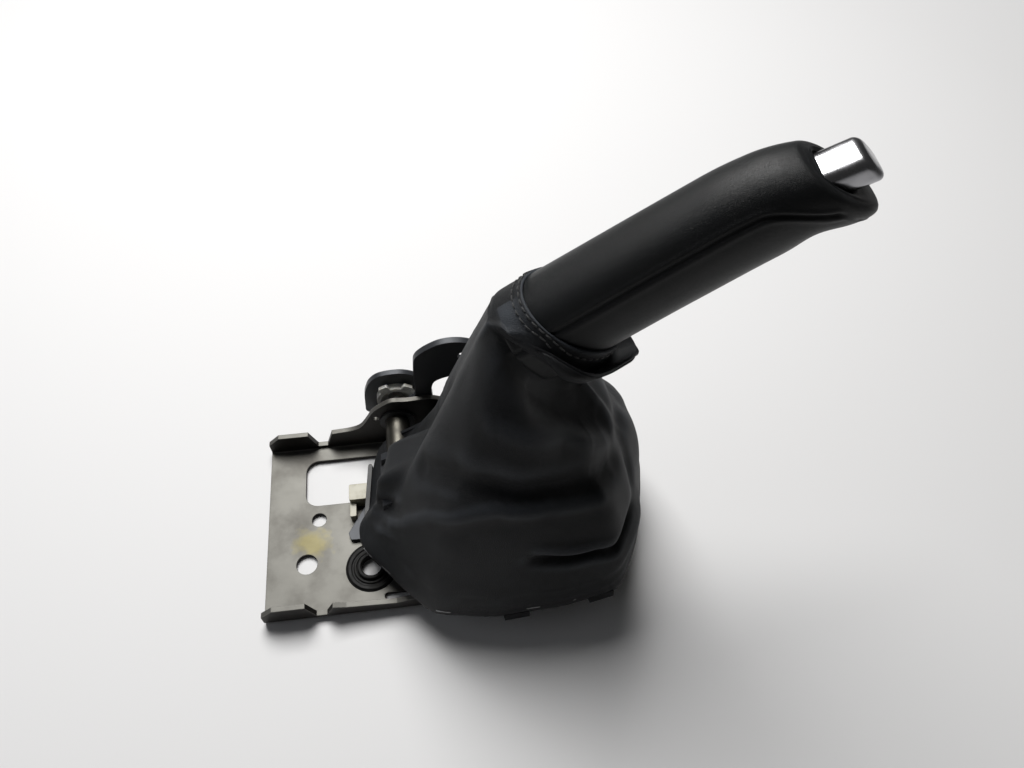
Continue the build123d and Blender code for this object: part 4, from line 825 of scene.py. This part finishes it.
def grip_rows(settings, columns):
    """The padded grip as closed rows: outside, over the end, into the button's mouth and back inside."""
    turn = round_turn(columns)
    end = np.full(columns, 140.0 * MM)
    # Eight rounds settle where the slanting end cuts each line of the outline
    for _ in range(8):
        _, rise = grip_outline(end, turn)
        end = GRIP_END + (11.6 * MM - rise) * GRIP_END_SLOPE
    below = 0.5 - 0.5 * np.sin(turn)
    roll = settings.top_roll + (settings.lip_roll - settings.top_roll) * below
    last = end - roll * 0.8
    rows = []
    for step in range(GRIP_STEPS + 1):
        part = step / GRIP_STEPS
        along = GRIP_LOW + (last - GRIP_LOW) * part
        # The mean of five sections, so that no station shows as a ridge
        soft = [grip_outline(along + shift * MM, turn) for shift in (-5, -2.5, 0, 2.5, 5)]
        across = sum(s[0] for s in soft) / 5
        rise = sum(s[1] for s in soft) / 5
        rise = rise + settings.waist * np.clip(-np.sin(turn), 0, 1) * hump(along, 122 * MM, 8 * MM)
        # A seam on each side, low along the grip and climbing over its end
        seam_turn = math.radians(-31) + math.radians(31) * smooth_step(108 * MM, 134 * MM, along)
        seam_turn += math.radians(60) * smooth_step(133 * MM, 143 * MM, along)
        side = np.minimum(np.abs((turn - math.pi - seam_turn + math.pi) % (2 * math.pi) - math.pi),
                          np.abs((turn + seam_turn + math.pi) % (2 * math.pi) - math.pi))
        off = side * 22 * MM
        groove = settings.seam_depth * np.exp(-(off / settings.seam_width) ** 2)
        beside = (off - settings.seam_width * 2.6) / (settings.seam_width * 1.6)
        swell = settings.seam_depth * 0.45 * np.exp(-beside ** 2)
        length = np.hypot(across, rise)
        factor = 1 + (swell - groove) / length
        rows.append(place(along, across * factor, rise * factor))
    tip_y, tip_n = grip_outline(end, turn)
    edge = place(end, tip_y, tip_n)
    open_edge = button_ring(0.0, turn, *MOUTH_HALF)
    # Square to the slanting end
    normal = ALONG * 0.928 + RISE * 0.371
    onto = ((edge - open_edge) @ normal) / (BUTTON_ALONG @ normal)
    open_edge = open_edge + onto[:, None] * BUTTON_ALONG
    outward = edge - open_edge
    reach = np.linalg.norm(outward, axis=1)
    inset = edge - outward / reach[:, None] * np.minimum(roll, reach * 0.72)[:, None]
    rows += curve_between(rows[-1], edge, inset, 9)
    rim = open_edge + outward / reach[:, None] * 1.6 * MM
    for part in (0.35, 0.7, 1.0):
        rows.append(inset + (rim - inset) * part + normal * 0.35 * MM * math.sin(math.pi * part))
    rows += curve_between(rim, open_edge + normal * 0.2 * MM, open_edge - BUTTON_ALONG * 1.6 * MM, 5)
    for depth, half in ((-4.3, MOUTH_HALF), (-4.4, CHAMBER_HALF), (-20.0, CHAMBER_HALF)):
        rows.append(button_ring(depth * MM, turn, *half))
    for along in (104 * MM, 50 * MM, GRIP_LOW):
        rows.append(place(np.full(columns, along), GRIP_BORE * np.cos(turn), GRIP_BORE * np.sin(turn)))
    return np.array(rows)


# Settings

class GaiterSettings(bpy.types.PropertyGroup):
    thickness: bpy.props.FloatProperty(
        name="Leather thickness", description="Thickness of the gaiter's leather",
        default=1.6 * MM, unit="LENGTH")
    lip_flare: bpy.props.FloatProperty(
        name="Lip flare", description="How far the cuff's lip stands out beside the grip",
        default=6.0 * MM, unit="LENGTH")
    fold_depth: bpy.props.FloatProperty(
        name="Fold depth", description="Depth of all folds as a share of the photographed ones",
        default=1.0, min=0.0)
    seed: bpy.props.IntProperty(name="Seed", description="Start value of the small waves", default=7)
    stitch_spacing: bpy.props.FloatProperty(
        name="Stitch spacing", description="Distance from stitch to stitch", default=4.0 * MM, unit="LENGTH")
    stitch_length: bpy.props.FloatProperty(
        name="Stitch length", description="Visible length of a stitch", default=2.9 * MM, unit="LENGTH")
    thread: bpy.props.FloatProperty(
        name="Thread", description="Diameter of the sewing thread", default=0.7 * MM, unit="LENGTH")
    staple_length: bpy.props.FloatProperty(
        name="Staple width", description="Width of a staple's crown", default=8.0 * MM, unit="LENGTH")
    staple_wire: bpy.props.FloatProperty(
        name="Staple wire", description="Diameter of the staple wire", default=1.0 * MM, unit="LENGTH")
    colour: bpy.props.FloatVectorProperty(
        name="Leather colour", description="Colour of the gaiter's leather", subtype="COLOR",
        default=linear("#0f1216")[:3])


class GripSettings(bpy.types.PropertyGroup):
    seam_depth: bpy.props.FloatProperty(
        name="Seam depth", description="Depth of the seam grooves", default=0.9 * MM, unit="LENGTH")
    seam_width: bpy.props.FloatProperty(
        name="Seam half width", description="Half width of the seam grooves", default=0.9 * MM, unit="LENGTH")
    top_roll: bpy.props.FloatProperty(
        name="Roll above the button", description="Rounding of the end above the button",
        default=3.0 * MM, unit="LENGTH")
    lip_roll: bpy.props.FloatProperty(
        name="Roll of the lip", description="Rounding of the end below the button",
        default=7.0 * MM, unit="LENGTH")
    waist: bpy.props.FloatProperty(
        name="Waist", description="How far the underside draws in before the lip",
        default=3.2 * MM, unit="LENGTH")
    button_slant: bpy.props.FloatProperty(
        name="Button slant", description="How far the button's end leans",
        default=math.radians(20), subtype="ANGLE")
    colour: bpy.props.FloatVectorProperty(
        name="Leather colour", description="Colour of the grip's leather", subtype="COLOR",
        default=linear("#101214")[:3])


class FinishSettings(bpy.types.PropertyGroup):
    zinc: bpy.props.FloatVectorProperty(
        name="Zinc", description="Colour of the plated base", subtype="COLOR", default=linear("#5d5c58")[:3])
    dark_steel: bpy.props.FloatVectorProperty(
        name="Dark steel", description="Colour of the dark pressed parts", subtype="COLOR",
        default=linear("#484a4b")[:3])
    ivory: bpy.props.FloatVectorProperty(
        name="Ivory nylon", description="Colour of the lamp switch", subtype="COLOR",
        default=linear("#a19d8a")[:3])


class StageSettings(bpy.types.PropertyGroup):
    floor: bpy.props.FloatVectorProperty(
        name="Floor", description="Colour of the floor", subtype="COLOR", default=linear("#dfdfe0")[:3])
    key_power: bpy.props.FloatProperty(
        name="Overhead light", description="Power of the large soft light", default=27.0, unit="POWER")
    world: bpy.props.FloatProperty(
        name="Surroundings", description="Strength of the even light", default=0.05)
    lens: bpy.props.FloatProperty(
        name="Focal length", description="Camera lens on a 36 mm wide sensor, in millimetres", default=29.11)


def rgb(colour):
    """A setting's colour with full opacity."""
    return tuple(colour) + (1.0,)


def finish_nodes(names, material):
    """Gives CAD nodes a finish."""
    for name in names:
        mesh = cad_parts[name].data
        mesh.materials.clear()
        mesh.materials.append(material)


# Operators

class PieceOperator:
    bl_options = {"REGISTER", "UNDO"}

    def execute(self, context):
        self.build(context.scene)
        return {"FINISHED"}


class BRAKE_OT_metal(PieceOperator, bpy.types.Operator):
    """Finishes the pressed, turned and drawn metal parts"""
    bl_idname = "brake_lever.metal"
    bl_label = "Metal finishes"

    def build(self, scene):
        own = scene.brake_finishes
        # Greyish zinc with drawing lines, a yellow smear between the holes, a painted shade on the upright
        # flanges, and paler edges, partly worn and partly a painted highlight
        zinc = sheet_metal("Zinc plated steel, drawn", rgb(own.zinc), linear("#504e4a"), linear("#2c2a28"),
                           linear("#8f8d89"), 0.75, 0.5, 0.5, 2, ((-0.056, -0.012, 0.003), linear("#7d7444")))
        finish_nodes(["base_bracket"], zinc)
        # Dark coated plates with a painted shade on faces turned away from their broad sides, and punched
        # edges that show paler steel, partly a painted highlight
        dark = sheet_metal("Dark coated steel, satin", rgb(own.dark_steel), linear("#45464a"),
                           linear("#34363a"), linear("#5c5e62"), 0.5, 0.48, 0.8, 1)
        finish_nodes(["pivot_support", "ratchet_sector", "outer_plate", "lever_channel", "hub_plates",
                      "cable_arm", "pawl"], dark)
        # Thin black spring clips
        black = turned_metal("Spring steel, black oxide", linear("#1f2021"), linear("#161617"), 0.45)
        finish_nodes(["frame_clips"], black)
        # Greyer zinc of tube and rivets
        tube = turned_metal("Zinc plated steel, turned", linear("#57554f"), linear("#3f3d39"), 0.42)
        finish_nodes(["cross_tube", "support_rivets"], tube)
        # Bright wire, pins and rods
        bright = turned_metal("Bright zinc steel, polished", linear("#b9b9b8"), linear("#8f8e8c"), 0.28)
        finish_nodes(["stop_pin", "pivot_pin", "pivot_clip", "pivot_spacer", "grip_tube", "button_spring",
                      "release_rod", "pawl_pin", "pawl_spring"], bright)
        # Yellow metal of the two blades
        brass = turned_metal("Brass, tarnished", linear("#b39a5b"), linear("#8a7442"), 0.34)
        finish_nodes(["switch_terminals"], brass)


class BRAKE_OT_plastics(PieceOperator, bpy.types.Operator):
    """Finishes the moulded plastic parts"""
    bl_idname = "brake_lever.plastics"
    bl_label = "Plastic finishes"

    def build(self, scene):
        own = scene.brake_finishes
        # Cloudy light grey nylon that lets a little light in
        grey = moulded_plastic("Natural nylon, grey", linear("#d6d5cf"), linear("#b0aea6"), 0.4, 0.5, 0.2)
        finish_nodes(["pivot_bush", "thrust_washer", "button_guide"], grey)
        # Warm ivory nylon of the lamp switch
        ivory = moulded_plastic("Ivory nylon, moulded", rgb(own.ivory), linear("#847f69"), 0.38, 0.5, 0.2)
        finish_nodes(["switch_body", "switch_connector", "switch_plunger"], ivory)
        # Black moulding with a fine spark grain
        black = moulded_plastic("Black polypropylene, grained", linear("#1b1c1d"), linear("#2b2b2a"),
                                0.5, 0.35, 0.0)
        finish_nodes(["gaiter_frame", "grip_core", "ear_bush"], black)


class BRAKE_OT_gaiter(PieceOperator, bpy.types.Operator):
    """Builds the leather gaiter with its folds, from the hem up to the seam on the grip"""
    bl_idname = "brake_lever.gaiter"
    bl_label = "Leather gaiter"

    def build(self, scene):
        own = scene.brake_gaiter
        rows, wear_and_highlight, _ = gaiter_surface(own)
        count, columns, _ = rows.shape
        piece = mesh_piece("gaiter", rows.reshape(-1, 3), ring_faces(count, columns))
        wear_and_highlight_attribute(piece, wear_and_highlight.ravel())
        solid = piece.modifiers.new("Thickness", "SOLIDIFY")
        solid.thickness = own.thickness
        solid.offset = -1.0
        solid.use_even_offset = False
        keep_modified(piece)
        face_outwards(piece)
        # Bluish black leather with small pebbles, paler where folds are rubbed, with painted highlights on
        # the lip and the cuff's front
        hide = leather("Gaiter leather, pebbled matt", rgb(own.colour), linear("#08090c"), linear("#3a3e44"),
                       0.85, 0.11, 0.58, 0.03)
        settle(piece, None, hide, ["gaiter_skirt", "gaiter_cuff"])
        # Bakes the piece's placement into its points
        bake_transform(piece)


class BRAKE_OT_cuff_stitches(PieceOperator, bpy.types.Operator):
    """Sews the gaiter's upper edge to the grip"""
    bl_idname = "brake_lever.cuff_stitches"
    bl_label = "Cuff stitches"

    def build(self, scene):
        own = scene.brake_gaiter
        rows, _, bend = gaiter_surface(own)
        normal = outward_normals(rows)
        # Dull black thread, a little darker than the leather
        thread = sewing_thread("Polyester thread, black", linear("#121314"), linear("#08090a"))
        points, runs, outs = [], [], []
        for row, keep in ((len(rows) - 3, bend < 4), (len(rows) - 7, np.abs(bend) > 2.0)):
            at, run = resample_closed(rows[row], own.stitch_spacing)
            for point, ahead in zip(at, run):
                nearest = np.argmin(np.linalg.norm(rows[row] - point, axis=1))
                if keep[nearest]:
                    points.append(point)
                    runs.append(ahead)
                    outs.append(normal[row][nearest])
        piece = scatter("cuff_stitches", points, runs, outs, stitch_shape, own.stitch_length, own.thread,
                        thread)
        settle(piece, "lever", thread)


class BRAKE_OT_staples(PieceOperator, bpy.types.Operator):
    """Wire staples that hold the hem on its frame"""
    bl_idname = "brake_lever.staples"
    bl_label = "Staples"

    def build(self, scene):
        own = scene.brake_gaiter
        gap = FRAME_WALL / 2 + HEM_GAP + own.thickness + own.staple_wire * 0.1
        x, y, _ = hem_loop(gap, HEM_POINTS)
        points, runs, outs = [], [], []
        for at in STAPLE_PLACES:
            k = int(at * HEM_POINTS + 3)
            run = np.array([x[k + 3] - x[k - 3], y[k + 3] - y[k - 3], 0.0])
            run = run / np.linalg.norm(run)
            lean_x, lean_y, lean_z = tilt(x[k], y[k], FRAME_LOW + FRAME_HEIGHT * 0.86)
            points.append((lean_x, lean_y, lean_z))
            run[2] = math.sin(FRAME_TILT) * run[0]
            runs.append(run)
            outs.append((run[1], -run[0], 0.0))
        # Greyish bright wire with short highlights
        wire = turned_metal("Staple wire, galvanised", linear("#a9aaab"), linear("#7c7c7b"), 0.35)
        piece = scatter("staples", points, runs, outs, staple_shape, own.staple_length, own.staple_wire, wire)
        settle(piece, "base", wire, ["gaiter_staples"])


class BRAKE_OT_grip(PieceOperator, bpy.types.Operator):
    """Builds the padded leather grip with its seams and the mouth for the button"""
    bl_idname = "brake_lever.grip"
    bl_label = "Padded grip"

    def build(self, scene):
        own = scene.brake_grip
        rows = grip_rows(own, GRIP_COLUMNS)
        count, columns, _ = rows.shape
        piece = mesh_piece("grip", rows.reshape(-1, 3), ring_faces(count, columns, looped=True))
        wear_and_highlight_attribute(piece, np.zeros(count * columns))
        face_outwards(piece)
        # Smooth fine grained black leather with a soft polish from hands
        hide = leather("Grip leather, fine satin", rgb(own.colour), linear("#0b0c0d"), linear("#2c2e30"),
                       0.5, 0.05, 0.42, 0.04)
        settle(piece, "lever", hide, ["grip_cover"])


class BRAKE_OT_button(PieceOperator, bpy.types.Operator):
    """Builds the push button with its leaning, rounded end"""
    bl_idname = "brake_lever.button"
    bl_label = "Release button"

    def build(self, scene):
        own = scene.brake_grip
        columns = TURNED_COLUMNS
        turn = round_turn(columns)
        lean = math.tan(own.button_slant)
        half_width, half_height = BUTTON_HALF
        up = half_height * squared(turn, BUTTON_CORNER)[1]
        side_end = BUTTON_FACE - BUTTON_ROUNDING
        rows = []
        for share in np.linspace(0, 1, 12):
            depth = BUTTON_BACK + (side_end - up * lean - BUTTON_BACK) * share
            rows.append(button_ring(depth, turn, half_width, half_height))
        for step in range(1, 12):
            angle = math.pi / 2 * step / 12
            shrink = BUTTON_ROUNDING * (1 - math.cos(angle))
            depth = side_end + BUTTON_ROUNDING * math.sin(angle) - up * (1 - shrink / half_height) * lean
            rows.append(button_ring(depth, turn, half_width - shrink, half_height - shrink))
        # The face is slightly crowned
        for share in (0.75, 0.5, 0.25):
            depth = BUTTON_FACE + 0.1 * MM - up * 0.6 * share * lean
            rows.append(button_ring(depth, turn, 6 * MM * share, 4.5 * MM * share))
        points = np.array(rows).reshape(-1, 3)
        count = len(rows)
        faces = ring_faces(count, columns)
        faces.append(tuple(range(columns))[::-1])
        faces.append(tuple((count - 1) * columns + i for i in range(columns)))
        piece = mesh_piece("button", points, faces)
        face_outwards(piece)
        # Matt chrome: clear broad highlights with a faint haze
        chrome = turned_metal("Chrome, satin", linear("#aeaeb1"), linear("#9b9b9e"), 0.24)
        settle(piece, "button", chrome, ["release_button"])


class BRAKE_OT_grommet(PieceOperator, bpy.types.Operator):
    """Builds the ringed rubber grommet in the base"""
    bl_idname = "brake_lever.grommet"
    bl_label = "Grommet"

    def build(self, scene):
        low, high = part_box("floor_grommet")
        middle = (low + high) / 2
        radius = (high.x - low.x) / 2 - 1.0 * MM
        top = high.z - low.z
        outline = [
            (6.0 * MM, 0.2 * MM), (radius + 0.9 * MM, 0.2 * MM), (radius + 0.9 * MM, 2.3 * MM),
            (radius, 2.7 * MM), (radius, 3.0 * MM), (radius - 0.5 * MM, 3.4 * MM),
            (radius - 2.2 * MM, 3.4 * MM), (radius - 2.7 * MM, 2.7 * MM), (radius - 3.6 * MM, 2.7 * MM),
            (radius - 4.1 * MM, 3.6 * MM), (9.2 * MM, 3.6 * MM), (8.9 * MM, 3.0 * MM), (8.5 * MM, 3.0 * MM),
            (8.3 * MM, top - 0.5 * MM), (7.8 * MM, top), (6.5 * MM, top), (6.0 * MM, top - 0.5 * MM),
        ]
        points = []
        for r, z in outline:
            for a in round_turn(TURNED_COLUMNS):
                points.append((middle.x + r * math.cos(a), middle.y + r * math.sin(a), low.z + z))
        faces = ring_faces(len(outline), TURNED_COLUMNS, looped=True)
        piece = mesh_piece("grommet", points, faces, smooth=False)
        soften = piece.modifiers.new("Rounding", "BEVEL")
        soften.width = 0.3 * MM
        soften.segments = 3
        soften.limit_method = "ANGLE"
        keep_modified(piece)
        face_outwards(piece)
        piece.data.shade_smooth()
        # Dusty black rubber
        rubber = moulded_rubber("Black rubber, dusty", linear("#0d0d0d"), linear("#24231f"))
        settle(piece, "base", rubber, ["floor_grommet"])


class BRAKE_OT_stage(PieceOperator, bpy.types.Operator):
    """Sets up the floor, the soft lights and the camera"""
    bl_idname = "brake_lever.stage"
    bl_label = "Stage"

    def build(self, scene):
        own = scene.brake_stage
        low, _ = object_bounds()
        level = low.z - 0.1 * MM
        corners = [(-4, -4, level), (4, -4, level), (4, 4, level), (-4, 4, level)]
        floor = mesh_piece("floor", corners, [(0, 1, 2, 3)], False)
        # Smooth paper without shine, whose far part fades for the camera into the pale backdrop
        material, tree, shader, place_in = material_tree("Matt paper, warm white")
        connect(tree, shader, {"Base Color": rgb(own.floor), "Roughness": 0.7})
        away = add(tree, "ShaderNodeVectorMath", {0: place_in.outputs["Object"]}, operation="LENGTH")
        far = add(tree, "ShaderNodeMapRange", {0: away.outputs["Value"], 1: 0.7, 2: 1.7})
        path = add(tree, "ShaderNodeLightPath")
        fading = add(tree, "ShaderNodeMath", {0: far, 1: path.outputs["Is Camera Ray"]},
                     operation="MULTIPLY")
        pale = add(tree, "ShaderNodeEmission", {"Color": BACKDROP, "Strength": 1.0})
        faded = add(tree, "ShaderNodeMixShader", {0: fading, 1: shader, 2: pale})
        connect(tree, tree.nodes["Material Output"], {"Surface": faded})
        floor.data.materials.append(material)
        floor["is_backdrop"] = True
        for name, where, aim, size, share, colour in (
            ("Overhead", (-0.1, 0.7, 1.25), (0.05, 0.0, 0.05), 0.8, 1.0, "#fffefc"),
            ("Side", (-1.2, -0.2, 0.9), (0.05, 0.0, 0.1), 0.9, 0.05, "#f2f6ff"),
        ):
            data = bpy.data.lights.new(name, "AREA")
            data.shape = "SQUARE"
            data.size = size
            data.energy = own.key_power * share
            data.color = linear(colour)[:3]
            lamp = bpy.data.objects.new(name, data)
            scene.collection.objects.link(lamp)
            lamp.location = where
            lamp.rotation_mode = "QUATERNION"
            lamp.rotation_quaternion = (Vector(aim) - Vector(where)).to_track_quat("-Z", "Y")
            lamp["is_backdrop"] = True
        world = bpy.data.worlds.new("Even light")
        world.use_nodes = True
        tree = world.node_tree
        even = tree.nodes["Background"]
        connect(tree, even, {"Color": linear("#f4f3f1"), "Strength": own.world})
        # Only the camera sees the pale backdrop; it lights nothing
        path = add(tree, "ShaderNodeLightPath")
        backdrop = add(tree, "ShaderNodeBackground", {"Color": BACKDROP, "Strength": 1.0})
        seen = add(tree, "ShaderNodeMixShader",
                   {0: path.outputs["Is Camera Ray"], 1: even, 2: backdrop})
        connect(tree, tree.nodes["World Output"], {"Surface": seen})
        scene.world = world
        data = bpy.data.cameras.new("Camera")
        data.sensor_fit = "HORIZONTAL"
        data.sensor_width = 36.0
        data.lens = own.lens
        data.clip_start = 0.01
        camera = bpy.data.objects.new("Camera", data)
        scene.collection.objects.link(camera)
        turned = Matrix((CAMERA_RIGHT, CAMERA_UP, -CAMERA_AHEAD)).transposed().to_4x4()
        camera.matrix_world = Matrix.Translation(CAMERA_PLACE) @ turned
        scene.camera = camera
        scene.view_settings.view_transform = "Standard"


STEPS = (
    BRAKE_OT_metal, BRAKE_OT_plastics, BRAKE_OT_gaiter, BRAKE_OT_cuff_stitches, BRAKE_OT_staples,
    BRAKE_OT_grip, BRAKE_OT_button, BRAKE_OT_grommet, BRAKE_OT_stage,
)


class BRAKE_PT_looks(bpy.types.Panel):
    bl_label = "Brake lever looks"
    bl_idname = "BRAKE_PT_looks"
    bl_space_type = "VIEW_3D"
    bl_region_type = "UI"
    bl_category = "Brake lever"

    def draw(self, context):
        for step in STEPS:
            self.layout.operator(step.bl_idname)


SETTINGS = {
    "brake_gaiter": GaiterSettings, "brake_grip": GripSettings, "brake_finishes": FinishSettings,
    "brake_stage": StageSettings,
}


def register():
    for name, group in SETTINGS.items():
        bpy.utils.register_class(group)
        setattr(bpy.types.Scene, name, bpy.props.PointerProperty(type=group))
    for step in STEPS:
        bpy.utils.register_class(step)
    bpy.utils.register_class(BRAKE_PT_looks)


def unregister():
    bpy.utils.unregister_class(BRAKE_PT_looks)
    for step in reversed(STEPS):
        bpy.utils.unregister_class(step)
    for name, group in reversed(SETTINGS.items()):
        delattr(bpy.types.Scene, name)
        bpy.utils.unregister_class(group)


def main():
    register()
    bpy.ops.brake_lever.metal()
    bpy.ops.brake_lever.plastics()
    bpy.ops.brake_lever.gaiter()
    bpy.ops.brake_lever.cuff_stitches()
    bpy.ops.brake_lever.staples()
    bpy.ops.brake_lever.grip()
    bpy.ops.brake_lever.button()
    bpy.ops.brake_lever.grommet()
    bpy.ops.brake_lever.stage()


if __name__ == "__main__":
    main()
